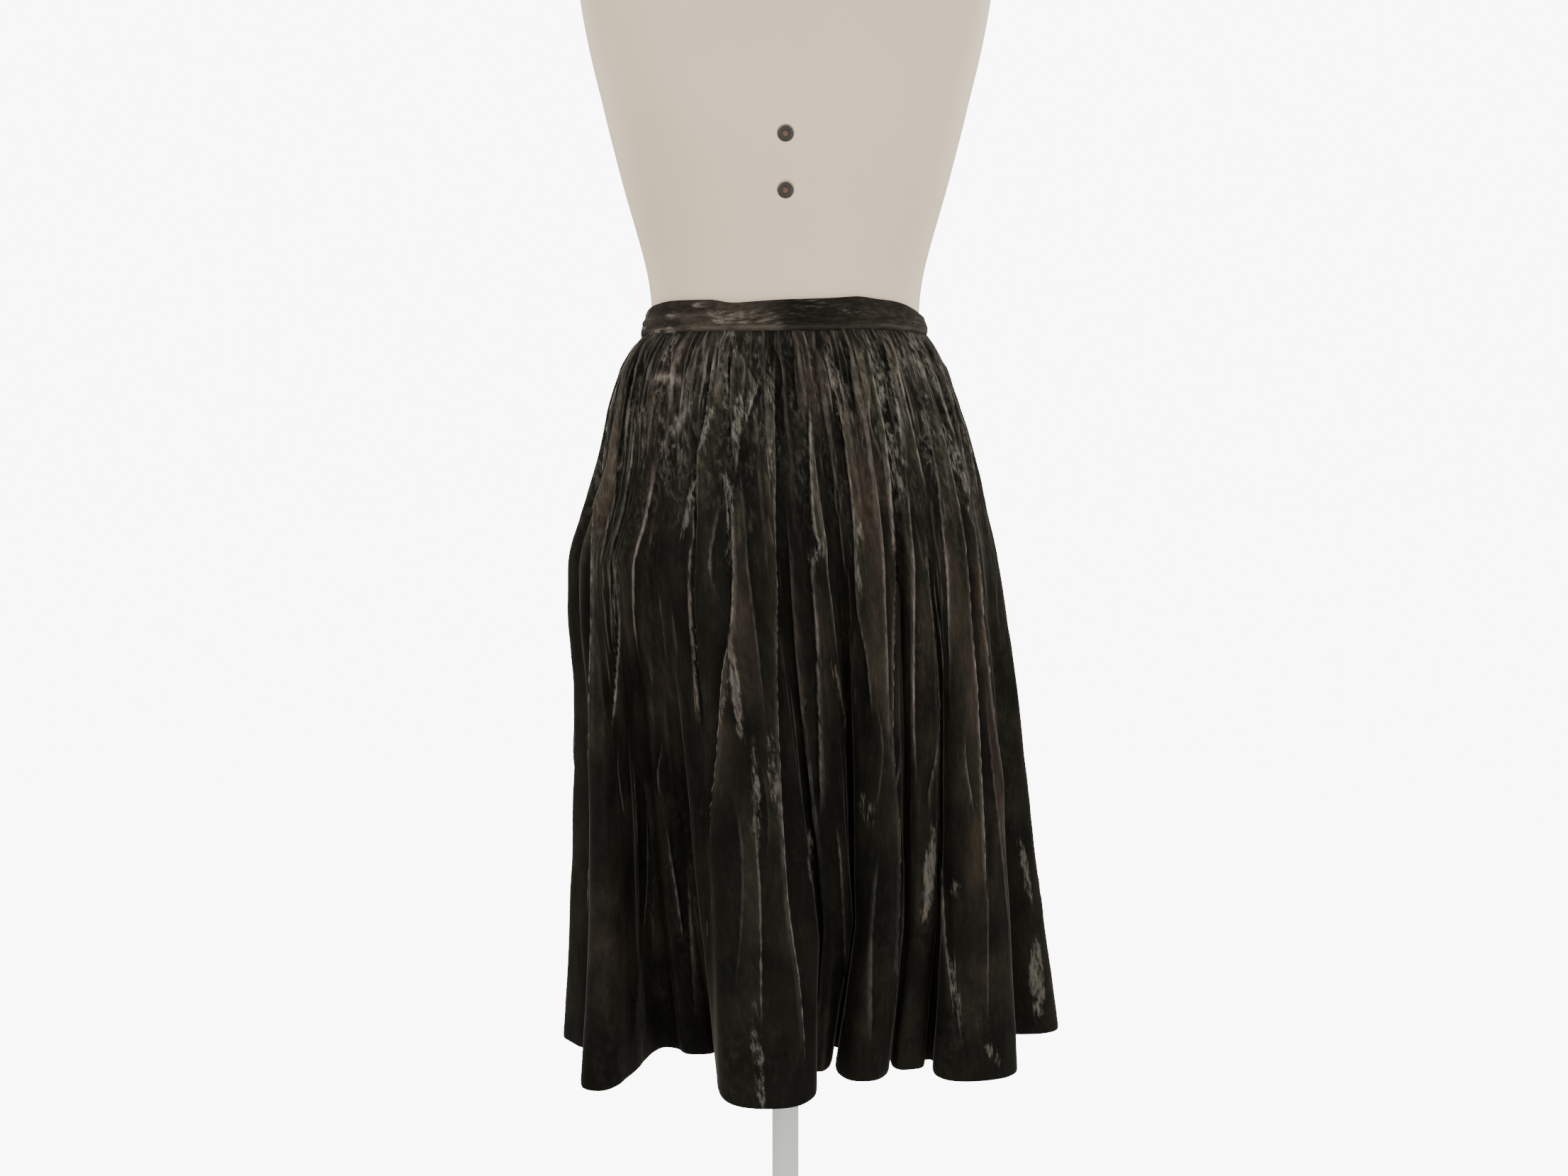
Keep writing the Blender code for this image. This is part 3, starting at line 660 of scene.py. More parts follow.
class SharedEffects:
    """Node groups that more than one material uses, each built once."""

    def __init__(self) -> None:
        """Builds the groups."""
        self.pile = self.crushed_pile()
        self.grain = self.fine_grain()

    def crushed_pile(self) -> bpy.types.NodeTree:
        """Crushed velvet: feathered patches where the short pile leans another way.

        Returns:
            A group that takes a place on the flat cloth in metres, and puts out the flecks of
            light pile, the slow change of tone, the streaks in it, and the height of the surface.
        """
        tree, graph, cloth = new_group(
            "crushed_pile", {"Cloth": "Vector", "Crush": "Float"}, ("Light", "Tone", "Streaks", "Height")
        )
        crush = cloth.of("Crush")
        combed = graph.swayed(cloth, 9.0, 0.012)
        ruffled = graph.swayed(graph.swayed(cloth, 10.0, 0.030), 45.0, 0.007)
        tone = graph.noise(graph.stretched(combed, 0.32), 26.0, 3.0, 0.52)
        broad = graph.noise(graph.stretched(ruffled, 0.34), 36.0, 3.0, 0.58)
        brushed = graph.noise(graph.stretched(ruffled, 0.46, 24.0), 160.0, 3.0, 0.58)
        crossed = graph.noise(graph.stretched(ruffled, 0.40, -20.0), 175.0, 3.0, 0.58)
        crumpled = graph.noise(graph.stretched(ruffled, 0.60, -32.0), 140.0, 3.0, 0.60)
        fine = graph.noise(graph.stretched(combed, 0.20, 2.0), 560.0, 3.0, 0.60)
        long = graph.noise(graph.stretched(combed, 0.12, 1.0), 300.0, 3.0, 0.56)
        grain = graph.noise(cloth, 2300.0, 1.0)
        flecks = graph.math("MAXIMUM", brushed.between(0.48, 0.70), crumpled.between(0.47, 0.68))
        clusters = broad.between(0.44, 0.62, 0.12, 1.0)
        lying = graph.add("ShaderNodeMix", {0: crush, 2: long, 3: brushed})
        height = broad * 0.60 + brushed * 0.30 + crossed * 0.14 + crumpled * 0.30 + fine * 0.06
        made = {
            "Light": (flecks * clusters * fine.between(0.36, 0.60, 0.30, 1.0) * crush).held(),
            "Tone": tone,
            "Streaks": lying * 0.42 + fine * 0.34 + grain * 0.24,
            "Height": height * graph.math("POWER", crush, 2.0),
        }
        graph.add("NodeGroupOutput", made)
        return tree

    def fine_grain(self) -> bpy.types.NodeTree:
        """A fine uneven grain with slow cloudiness, for moulded and painted surfaces.

        Returns:
            A group that takes a place in metres and puts out the grain's height and the cloud.
        """
        inputs = {"Place": "Vector", "Grains per metre": "Float"}
        tree, graph, place = new_group("fine_grain", inputs, ("Height", "Cloud"))
        height = graph.noise(place, place.of("Grains per metre"))
        graph.add("NodeGroupOutput", {"Height": height, "Cloud": graph.noise(place, 7.0, 3.0, 0.55)})
        return tree


def new_material(name: str) -> tuple[bpy.types.Material, Graph]:
    """A material with an empty node tree."""
    made = bpy.data.materials.new(name)
    made.use_nodes = True
    return made, Graph(made.node_tree)


@dataclass(frozen=True)
class VelvetFinish:
    """Crushed velvet in its dark, middle and light tones."""

    name: str = "crushed_velvet"
    deep: tuple[float, float, float] = (0.0098, 0.0095, 0.0062)
    olive: tuple[float, float, float] = (0.0165, 0.0160, 0.0102)
    brown: tuple[float, float, float] = (0.0310, 0.0238, 0.0170)
    sage: tuple[float, float, float] = (0.198, 0.188, 0.158)
    mauve: tuple[float, float, float] = (0.226, 0.194, 0.166)
    crush: float = 1.0
    calm_crush: float = 0.20
    flecks: float = 0.62
    calm_flecks: float = 0.0868
    strokes: float = 0.72
    rim_width: float = 1.1 * MM
    relief: float = 3.0 * MM

    def material(self, effects: SharedEffects) -> bpy.types.Material:
        """The material, whose pattern follows the cloth's own map; the cloth's marks paint highlights, shade
        and fill light into it.
        """
        made, graph = new_material(self.name)
        cloth = graph.add("ShaderNodeUVMap", uv_map="cloth")
        stroke, ridge, calm, hollow = graph.marks("pile")
        past, rim, foot, face = graph.marks("folds")
        crush = calm.between(0.0, 1.0, self.crush, self.calm_crush * self.crush)
        pile = graph.add(
            "ShaderNodeGroup", {"Cloth": cloth, "Crush": crush}, "Light", node_tree=effects.pile
        )
        slow, streaks = pile.of("Tone"), pile.of("Streaks")
        # Painted light and shade beside the folds: the side before each fold's edge is lightened and the side
        # after it is darkened, in the tone and in the base colour.
        lit, painted_shade_side = (face.between(0.5, end, kind="LINEAR") for end in (1.0, 0.0))
        tone = (slow.between(0.36, 0.62) * 0.8 + lit * 0.5 - painted_shade_side * 0.6).held()
        hue = graph.noise(graph.stretched(cloth, 0.4), 13.0, 3.0).between(0.44, 0.62)
        base = graph.mixed(tone, self.deep, graph.mixed(hue, self.olive, self.brown))
        uneven = streaks.between(0.36, 0.64, -0.42, 0.58) * calm.between(0.0, 1.0, 1.0, 0.26)
        base = graph.scaled(base, uneven + calm.between(0.0, 1.0, 0.78, 0.575))
        clouds = graph.noise(graph.stretched(cloth, 0.55), 24.0).between(0.38, 0.62, 0.70, 1.32)
        base = graph.scaled(base, (lit * 0.72 + 1.0 - painted_shade_side * 0.32) * clouds)

        flecks = pile * calm.between(0.0, 1.0, self.flecks, self.calm_flecks)
        torn = stroke * 0.82 + streaks.between(0.40, 0.60, -0.50, 0.33)
        strokes = torn.between(0.26, 0.86) * self.strokes
        wide = self.rim_width
        past = past.between(0.0, 1.0, -FOLD_REACH, FOLD_REACH, "LINEAR")
        # Painted highlight: a thin light line along each fold's edge and along the crests, in place of the
        # velvet's sheen there.
        edge = (abs(past) / streaks.between(0.38, 0.60, 0.5 * wide, 1.25 * wide)).between(0.25, 1.4, 1.0, 0.0)
        painted_rim_highlights = ((edge * rim + ridge) * streaks.between(0.36, 0.58, 0.45, 1.0)).held()
        painted_rim_highlights = painted_rim_highlights * slow.between(0.40, 0.58, 0.55, 1.15)
        light = graph.math("MAXIMUM", flecks, graph.math("MAXIMUM", strokes, painted_rim_highlights))
        light = light * streaks.between(0.36, 0.60, 0.60, 1.0)
        light = (light * calm.between(0.0, 1.0, 1.0, 0.68)).held()

        # Painted shadow: a dark line at the foot of each fold's edge, on its shaded side.
        shade = abs(past - 1.9 * wide).between(0.3 * wide, 1.7 * wide, 1.0, 0.0) * foot
        colour = graph.mixed(light, base, graph.mixed(hue, self.sage, self.mauve))
        # Painted fill light: creases, furrows and hollows are lightened by up to 15%, lifting their shade.
        colour = graph.scaled(colour, hollow.between(0.05, 0.95, 1.0, 1.15))
        colour = graph.scaled(colour, shade.between(0.0, 1.0, 1.0, 0.62))
        step = past.between(-0.4 * wide, 1.2 * wide, 0.30, 0.0) * foot
        graph.surface(
            pile.of("Height") + step, 0.8, self.relief, Base_Color=colour,
            Roughness=light.between(0.0, 1.0, 0.85, 0.60), Sheen_Weight=0.26, Sheen_Roughness=0.22,
            Sheen_Tint=(0.62, 0.58, 0.47), Specular_IOR_Level=0.08,
        )
        return made


@dataclass(frozen=True)
class WovenBackFinish:
    """The plain woven back of the velvet, seen inside the skirt."""

    name: str = "velvet_back"
    thread: tuple[float, float, float] = (0.030, 0.026, 0.020)
    gap: tuple[float, float, float] = (0.012, 0.010, 0.008)

    def material(self) -> bpy.types.Material:
        """The material: a fine plain weave on the cloth's own map."""
        made, graph = new_material(self.name)
        cloth = graph.add("ShaderNodeUVMap", uv_map="cloth")
        warp, weft = (
            graph.add(
                "ShaderNodeTexWave", {"Vector": cloth, "Scale": threads, "Distortion": 0.6}, "Fac",
                bands_direction=way,
            )
            for threads, way in ((260.0, "X"), (240.0, "Y"))
        )
        weave = warp * weft
        share = ((weave + graph.noise(cloth, 30.0, 3.0).between(0.3, 0.7)) * 0.5).held()
        graph.surface(
            weave, 0.4, 0.4 * MM, Base_Color=graph.mixed(share, self.gap, self.thread),
            Roughness=0.9, Sheen_Weight=0.1, Specular_IOR_Level=0.15,
        )
        return made


@dataclass(frozen=True)
class SatinFinish:
    """A painted or moulded surface with a fine grain and slow cloudiness."""

    name: str
    colour: tuple[float, float, float]
    cloud: tuple[float, float, float]
    roughness: float
    grains: float = 900.0
    relief: float = 0.12 * MM
    metallic: float = 0.0
    coat: float = 0.0

    def material(self, effects: SharedEffects) -> bpy.types.Material:
        """The material, on object coordinates."""
        made, graph = new_material(self.name)
        place = graph.add("ShaderNodeTexCoord", output="Object")
        inputs = {"Place": place, "Grains per metre": self.grains}
        grain = graph.add("ShaderNodeGroup", inputs, "Height", node_tree=effects.grain)
        cloud = grain.of("Cloud").between(0.35, 0.65)
        graph.surface(
            grain, 0.5, self.relief, Base_Color=graph.mixed(cloud, self.colour, self.cloud),
            Roughness=grain.between(0.3, 0.7, self.roughness - 0.05, self.roughness + 0.07),
            Metallic=self.metallic, Coat_Weight=self.coat,
        )
        return made


BAND_VELVET_FINISH = VelvetFinish(
    "band_velvet", (0.0168, 0.0148, 0.0108), (0.0336, 0.0298, 0.0213), (0.0538, 0.0423, 0.0319), crush=0.60
)
FORM_FINISH = SatinFinish("cream_form", (0.945, 0.768, 0.565), (0.915, 0.733, 0.525), 0.52, 700.0)
STAND_FINISH = SatinFinish(
    "stand_lacquer", (0.78, 0.78, 0.76), (0.74, 0.74, 0.72), 0.34, 420.0, 0.10 * MM, coat=0.2
)
SCREW_FINISH = SatinFinish(
    "blackened_steel", (0.060, 0.062, 0.056), (0.034, 0.036, 0.034), 0.42, 1500.0, 0.10 * MM, metallic=0.75
)
SOCKET_FINISH = SatinFinish(
    "rusty_socket", (0.170, 0.105, 0.070), (0.090, 0.058, 0.042), 0.75, 1800.0, 0.20 * MM
)
BUTTON_FINISH = SatinFinish(
    "button_shell", (0.026, 0.021, 0.017), (0.014, 0.012, 0.010), 0.30, 260.0, 0.03 * MM
)
THREAD_FINISH = SatinFinish(
    "sewing_thread", (0.030, 0.026, 0.020), (0.018, 0.016, 0.012), 0.80, 5000.0, 0.10 * MM
)


def handed_over(obj: bpy.types.Object, node: str | None = None) -> bpy.types.Object:
    """Fixes a piece to the part's one body and the node it stands for."""
    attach(obj, "root")
    if node:
        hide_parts(node)
    return obj


@dataclass
class ClothSurface:
    """The skirt's outside as a grid of points, closed round the waist, with its flat map."""

    points: np.ndarray
    normals: np.ndarray
    gather: np.ndarray
    drops: np.ndarray
    seams: dict[str, int]
    hem_length: float


@dataclass
class SkirtShape:
    """The gathered and folded form of the cloth, before its creases."""

    gathers: int = 50
    quarters: int = 4
    finer: int = 8
    fold_growth: float = 1.35
    pleats: int = 28
    pleat_depth: float = 8.0 * MM
    pleat_overlap: float = 5.5 * MM
    flatter_front: float = 0.90
    gather_depth: float = 2.2 * MM
    small_gathers: int = 117
    small_gather_depth: float = 1.0 * MM
    tuck: float = 0.3 * MM

    def drops(self) -> np.ndarray:
        """Drops of the rows under the waist seam: close together at the gathers and the hem."""
        upper = np.linspace(0.0, 0.060, 14, endpoint=False)
        middle = np.linspace(0.060, SKIRT_LENGTH - 8.0 * MM, 84)
        rolled = SKIRT_LENGTH - np.array([4.5, 1.7, 0.0]) * MM
        return np.concatenate([upper, middle, rolled])

    def hem_plan(self) -> tuple[np.ndarray, np.ndarray, dict[str, float]]:
        """Works out the hem line from above.

        Returns:
            Its points, the share of its length at each, and the share at each fold's valley.
        """
        turns, starts, parts = [], [], []
        for fold, following in zip(FOLDS, FOLDS[1:] + FOLDS[:1]):
            turn = (following.facing - fold.facing) % 360
            turns.append((fold.crest, fold.crest_round, fold.facing))
            turns.append((fold.valley, fold.valley_round, fold.facing + turn / 2))
        steps = np.linspace(0, 1, FINE // len(turns), endpoint=False)[:, None]
        for start, end in zip(turns, turns[1:] + turns[:1]):
            starts.append(len(parts) * len(steps))
            ends = []
            for place, reach, facing in (start, end):
                along = math.radians(facing)
                ends.append((np.array(place), reach * np.array((math.cos(along), math.sin(along)))))
            (here, out), (there, into) = ends
            parts.append(
                here * (1 - steps) ** 3
                + (here + 1.5 * out) * 3 * steps * (1 - steps) ** 2
                + (there - 1.5 * into) * 3 * steps**2 * (1 - steps)
                + there * steps**3
            )
        line = np.concatenate(parts)
        shares = length_shares(line)
        valleys = {fold.name: float(shares[starts[2 * i + 1]]) for i, fold in enumerate(FOLDS)}
        return line, shares, valleys

    def columns(self, first: float, count: int) -> tuple[np.ndarray, np.ndarray]:
        """Shares of the hem at each column, and the even shares of the waist above them."""
        even = np.linspace(0, 1, FINE)
        phase = even + 0.006 * np.sin(14 * math.pi * even) + 0.003 * np.sin(34 * math.pi * even + 1)
        gather = np.arange(count) / count
        shares = np.interp(gather, (phase - phase[0]) / (phase[-1] - phase[0]), even)
        return (first + shares) % 1.0, gather

    def cloth_oval(self, share: float, bearing: np.ndarray) -> np.ndarray:
        """The oval under the folds at a share of the way down the skirt."""
        places = [level.share for level in OVALS]
        sides = ("left", "right", "front", "back")
        sizes = [eased(places, [getattr(level, side) for level in OVALS], share) for side in sides]
        return oval(bearing, *sizes)

    def even_bearings(self, gather: np.ndarray, first: float) -> np.ndarray:
        """Bearings that space the gathers evenly along the waist, starting at the left seam."""
        fine = first + np.linspace(0, 2 * math.pi, FINE, endpoint=False)
        shares = length_shares(self.cloth_oval(0.0, fine))
        return np.interp(gather, shares, np.concatenate([fine, [first + 2 * math.pi]]))

    def waves(self, gather: np.ndarray, share: float, square: np.ndarray) -> tuple[np.ndarray, np.ndarray]:
        """Offsets of the cloth for the gathers and pleats at one height.

        Args:
            gather: Each column's share of the way round the waist.
            share: The height, as a share of the way down.
            square: How squarely each point faces the front or the back, from 0 to 1.

        Returns:
            How far each point moves out of the cloth, and how far along it.
        """
        turn = 2 * math.pi * gather
        fade_in = min(1.0, 0.25 + share / 0.05)
        fade = fade_in * max(0.0, 1 - share / 0.38) ** 1.2
        uneven = 0.85 + 0.40 * np.sin(7 * turn + 0.8) + 0.35 * np.sin(11 * turn + 2.1)
        uneven += 0.2 * np.sin(29 * turn)
        phase = self.gathers * turn + 2.0 * np.sin(3 * turn + 1.0) + 1.3 * np.sin(8 * turn + 0.5)
        crest = (np.cos(phase) + 0.32 * np.cos(2 * phase)) / 1.12
        out = self.gather_depth * fade * uneven * crest
        small = self.small_gathers * turn + 1.6 * np.sin(9 * turn + 0.7) + 1.1 * np.sin(23 * turn)
        strength = 0.6 + 0.4 * np.sin(5 * turn + 2.4)
        small_fade = fade_in * max(0.0, 1 - share / 0.20)
        out += self.small_gather_depth * small_fade * strength * np.cos(small)
        rise = min(1.0, share / 0.22)
        fall = 1.0 if share < 0.45 else 1 - 0.75 * min(1.0, (share - 0.45) / 0.45)
        pleat = self.pleats * turn + 0.9 * np.sin(5 * turn + 0.4) + 0.5 * np.sin(9 * turn)
        size = rise * fall * (0.72 + 0.28 * np.sin(4 * turn + 1.3) + 0.22 * np.sin(13 * turn))
        size = size * (1 - self.flatter_front * smooth_step(1.4 * square))
        out += self.pleat_depth * size * np.cos(pleat)
        out -= self.tuck * max(0.0, 1 - share * SKIRT_LENGTH / (5.0 * MM))
        return out, self.pleat_overlap * size * np.sin(pleat)

    def surface(self) -> ClothSurface:
        """Builds the whole outside of the skirt, starting at the viewer's left side seam."""
        line, shares, valleys = self.hem_plan()
        plain, count = self.gathers * self.quarters, self.gathers * self.quarters * self.finer
        at, gather = self.columns(valleys[LEFT_SEAM_AFTER], count)
        closed = np.concatenate([line, line[:1]])
        hem = np.stack([np.interp(at, shares, closed[:, k]) for k in (0, 1)], axis=-1)
        bearing = np.unwrap(np.arctan2(hem[:, 0], -hem[:, 1]))
        window = 2 * (count // (2 * len(FOLDS))) + 1
        turn = 2 * math.pi
        padded = np.concatenate([bearing[-window:] - turn, bearing, bearing[:window] + turn])
        smooth = np.convolve(padded, np.ones(window) / window, "same")[window:-window]
        even = self.even_bearings(gather, smooth[0])
        hem_oval = self.cloth_oval(1.0, smooth)
        drops = self.drops()
        rings = []
        for share in drops / SKIRT_LENGTH:
            base = self.cloth_oval(share, even + (smooth - even) * min(1.0, share / 0.8))
            flat = base + share**self.fold_growth * (hem - hem_oval)
            forward = np.roll(flat, -self.finer, axis=0) - np.roll(flat, self.finer, axis=0)
            forward /= np.linalg.norm(forward, axis=1)[:, None]
            outward = np.stack([forward[:, 1], -forward[:, 0]], axis=1)
            out, along = self.waves(gather, share, np.abs(outward[:, 1]))
            plan = flat + outward * out[:, None] + forward * along[:, None]
            dip = waist_dip(np.arctan2(flat[:, 0], -flat[:, 1])) * (1 - smooth_step(share / 0.15))
            height = WAIST_SEAM_HEIGHT - share * SKIRT_LENGTH - dip
            rings.append(np.concatenate([plan, height[:, None]], axis=1))
        points = np.array(rings)
        coarse_at = self.columns(valleys[LEFT_SEAM_AFTER], plain)[0]
        seams = {
            name: self.finer * int(np.argmin(np.abs((coarse_at - valleys[name] + 0.5) % 1.0 - 0.5)))
            for name in (LEFT_SEAM_AFTER, RIGHT_SEAM_AFTER, BACK_SEAM_AFTER)
        }
        hem_length = float(np.linalg.norm(np.roll(line, -1, axis=0) - line, axis=1).sum())
        return ClothSurface(points, ring_normals(points), gather, drops, seams, hem_length)


def ring_normals(points: np.ndarray) -> np.ndarray:
    """Outward normals of a grid whose rows are closed rings, counted clockwise from above."""
    across = np.roll(points, -1, axis=1) - np.roll(points, 1, axis=1)
    down = np.gradient(points, axis=0)
    normal = np.cross(down, across)
    return normal / np.linalg.norm(normal, axis=2)[..., None]


def smooth_step(value: np.ndarray | float) -> np.ndarray:
    """A value held between 0 and 1, with soft ends."""
    held = np.clip(value, 0.0, 1.0)
    return held * held * (3 - 2 * held)


@dataclass
class Relief:
    """What the creases and the worn pile add to each point of a cloth surface, painted light and shade among
    them.

    The pile marks are the light strokes, the painted highlight on the ridges, the calm of the pile and the
    deep creases, which the material lightens as painted fill light.
    The fold marks are the distance past the nearest fold's edge on its shaded side, brought to
    0 to 1 over the fold reach each way, how light that edge's painted highlight and how dark the painted
    shadow at its foot is, and whether the cloth beside a fold is painted as facing the light (1) or lying in
    its shade (0).
    """

    height: np.ndarray
    stroke: np.ndarray
    ridge: np.ndarray
    calm: np.ndarray
    deep: np.ndarray
    past: np.ndarray
    rim: np.ndarray
    foot: np.ndarray
    face: np.ndarray


MARK_LAYERS = {"pile": ("stroke", "ridge", "calm", "deep"), "folds": ("past", "rim", "foot", "face")}
NO_FOLDS = (1.0, 0.0, 0.0, 0.5)


@dataclass
class CreaseCarver:
    """Lays the creases, the crumples and the strokes of the pile over a cloth surface."""

    surface: ClothSurface
    taper: float = 34.0 * MM
    growth: float = 0.6
    drift: float = 7.0 * MM
    drawn_shine: float = 1.7

    def relief(self) -> Relief:
        """Works out the whole relief of the surface."""
        x = self.surface.points[..., 0]
        drop = np.broadcast_to(self.surface.drops[:, None], x.shape)
        share = drop / SKIRT_LENGTH
        marks = Relief(*(np.zeros(x.shape) for _ in fields(Relief)))
        marks.past += 2 * FOLD_REACH
        for family in CREASE_FAMILIES:
            self.lay_family(family, marks)
        for crease in CREASES:
            self.lay_crease(crease, x, drop, marks)
        for stroke in STROKES:
            self.lay_stroke(stroke, x, drop, marks)
        u, v = self.surface.gather[None, :] * self.surface.hem_length, drop
        lively = 1 - 0.62 * smooth_step((share - 0.12) / 0.5)
        settled = smooth_step(share / 0.03)
        marks.height += settled * lively * (
            1.1 * MM * hills(u, v, 17 * MM, 44 * MM, 3) + 0.55 * MM * hills(u, v, 8 * MM, 17 * MM, 5)
        )
        marks.height += 0.7 * MM * settled * hills(u, v, 36 * MM, 90 * MM, 8)
        marks.calm = smooth_step((share - 0.05) / 0.36) * (0.82 + 0.18 * hills(u, v, 60 * MM, 90 * MM, 11))
        # A calmer centre front: fewer flecks and a darker base, partly as painted shade in place of the sheen
        # that the sides catch at a grazing view.
        quiet = 0.40 * bell(x, 12 * MM, 48 * MM) * self.facing_weight(Facing.FRONT)
        marks.calm = 1 - (1 - marks.calm) * (1 - quiet)
        marks.rim *= np.clip(2 - 3.6 * np.abs(marks.past) / FOLD_REACH, 0, 1)
        marks.foot *= np.clip(2 - 2 * np.abs(marks.past) / FOLD_REACH, 0, 1)
        marks.past = np.clip(0.5 + marks.past / (2 * FOLD_REACH), 0, 1)
        # The centre front below the gathers is darkened through the mark that carries the folds' painted
        # shade.
        middle = bell(x, 6 * MM, 80 * MM) * self.facing_weight(Facing.FRONT)
        marks.face -= 0.55 * middle * smooth_step((share - 0.10) / 0.25)
        # The painted shadows at the folds' feet, and the painted light and shade beside the folds, grow
        # weaker towards the hem.
        even = 1 - 0.45 * smooth_step((share - 0.60) / 0.25)
        marks.foot *= even
        marks.face = 0.5 + 0.5 * even * np.clip(marks.face, -1, 1)
        return marks

    def facing_weight(self, facing: Facing) -> np.ndarray:
        """How squarely each point looks to the front or to the back, from 0 to 1."""
        return smooth_step(facing.value * self.surface.normals[..., 1] / 0.35)

    def squareness(self) -> np.ndarray:
        """Length seen from the front over length along the cloth, across each point."""
        return np.maximum(np.abs(self.surface.normals[..., 1]), 0.25)

    def lay_family(self, family: CreaseFamily, marks: Relief) -> None:
        """Adds a family of creases, each along its own stretch of the cloth."""
        draw = np.random.default_rng(family.seed)
        surface = self.surface
        steps = np.roll(surface.points, -1, axis=1) - surface.points
        girth = np.linalg.norm(steps, axis=2).sum(axis=1)
        share = surface.drops / SKIRT_LENGTH
        for k in range(family.count):
            place = (k + draw.uniform(0, 1)) / family.count
            start, length = draw.uniform(*family.start), draw.uniform(*family.length)
            width, depth, shine = (draw.uniform(*ends) for ends in (family.width, family.depth, family.shine))
            lean = draw.choice((-1.0, 1.0))
            sway, phase = draw.uniform(0.2, 1.0) * self.drift, draw.uniform(0, 2 * math.pi)
            within = (share - start) / length
            rows = np.flatnonzero((within > 0) & (within < 1))
            if not len(rows):
                continue
            fade = smooth_step(np.minimum(within[rows], 1 - within[rows]) / 0.30)
            fade *= smooth_step(surface.drops[rows] / (4.0 * MM))
            shift = sway * np.sin(4.0 * share[rows] / length + phase)
            away = (surface.gather[None, :] - place + 0.5) % 1.0 - 0.5
            distance = away * girth[rows, None] - shift[:, None]
            self.add_profile(
                marks, rows, distance, width * MM * (1 + self.growth * share[rows, None]),
                lean, depth * MM * fade[:, None], shine * fade[:, None],
            )

    def add_profile(
        self, marks: Relief, at: tuple | np.ndarray, distance: np.ndarray, width: np.ndarray, lean: float,
        depth: np.ndarray, shine: np.ndarray, claim: float = 0.0,
    ) -> None:
        """Adds a fold at some of the points: a slow rise to its edge, a sharp drop, a slow return.

        Args:
            marks: The relief, which is changed.
            at: Which points, as an index of the arrays.
            distance: Signed distance of each from the crease.
            width: Half width of the edge.
            lean: Which side the drop is on, or 0 for a plain soft ridge.
            depth: Height of the edge, or of a furrow if it is negative.
            shine: How light the painted highlight on the edge is.
            claim: How near the fold takes a point over from a nearer one.
        """
        if not lean:
            ridge = bell(distance, 0, width)
            marks.height[at] += depth * ridge
            # Painted fill light in a furrow.
            marks.deep[at] += ridge * np.clip(-depth / (2.2 * MM), 0, 1)
            # Painted highlight along a soft ridge.
            marks.ridge[at] = np.maximum(marks.ridge[at], shine * ridge)
            return
        past = distance * lean
        slow = bell(past, 0, 4.0 * width)
        sharp = bell(past, 0, 0.5 * width)
        marks.height[at] += depth * np.where(past < 0, slow, 1.9 * sharp - 0.9 * slow)
        shaded = bell(past, 1.4 * width, 1.5 * width)
        # Painted fill light in the trough after the edge.
        marks.deep[at] += 0.55 * shaded * np.clip(depth / (2.0 * MM), 0, 1)
        # Painted light on the side before the edge, and painted shade on the side after it.
        lit = bell(past, 0, 3.8 * width)
        painted_shade_side = 0.9 * bell(past, 0, 2.8 * width)
        side = smooth_step(0.5 + past / (0.9 * width))
        marks.face[at] += np.clip(depth / (1.8 * MM), 0, 1) * (lit * (1 - side) - painted_shade_side * side)
        taken = np.abs(past) < np.maximum(np.abs(marks.past[at]), claim)
        marks.past[at] = np.where(taken, past, marks.past[at])
        # The nearest edge's painted highlight, and how dark the painted shadow at its foot is.
        marks.rim[at] = np.where(taken, shine, marks.rim[at])
        marks.foot[at] = np.where(taken, np.clip(depth / (2.4 * MM), 0, 1), marks.foot[at])

    def lay_crease(self, crease: Crease, x: np.ndarray, drop: np.ndarray, marks: Relief) -> None:
        """Adds one crease to the relief.

        Args:
            crease: The crease.
            x: Each point's place across.
            drop: Each point's drop under the waist seam.
            marks: The relief, which is changed.
        """
        rows = np.array(crease.points) * MM
        along = np.concatenate([[0.0], np.cumsum(np.linalg.norm(np.diff(rows, axis=0), axis=1))])
        at = np.linspace(0, along[-1], max(24, int(along[-1] / (2.0 * MM))))
        line = np.stack([eased(along, rows[:, k], at) for k in (0, 1)], axis=1)
        tangent = np.gradient(line, axis=0)
        tangent /= np.linalg.norm(tangent, axis=1)[:, None]
        reach = 14.0 * crease.width * MM
        low, high = line.min(axis=0) - reach, line.max(axis=0) + reach
        weight = self.facing_weight(crease.facing)
        near = (x > low[0]) & (x < high[0]) & (drop > low[1]) & (drop < high[1]) & (weight > 0)
        place = np.stack([x[near], drop[near]], axis=1)
        apart = ((place[:, None, :] - line[None]) ** 2).sum(axis=2)
        nearest = apart.argmin(axis=1)
        offset, way = place - line[nearest], tangent[nearest]
        side = np.sign(way[:, 1] * offset[:, 0] - way[:, 0] * offset[:, 1])
        distance = side * np.sqrt(apart[np.arange(len(place)), nearest]) / self.squareness()[near]
        width = crease.width * MM * (1 + self.growth * place[:, 1] / SKIRT_LENGTH)
        taper = min(self.taper, 0.35 * along[-1])
        from_end = np.minimum(at, along[-1] - at)[nearest]
        fade = weight[near] * smooth_step(from_end / taper) * smooth_step(place[:, 1] / (6.0 * MM))
        self.add_profile(
            marks, near, distance, width, crease.lean, crease.depth * MM * fade,
            np.clip(self.drawn_shine * crease.shine * fade, 0, 1), 0.6 * FOLD_REACH,
        )

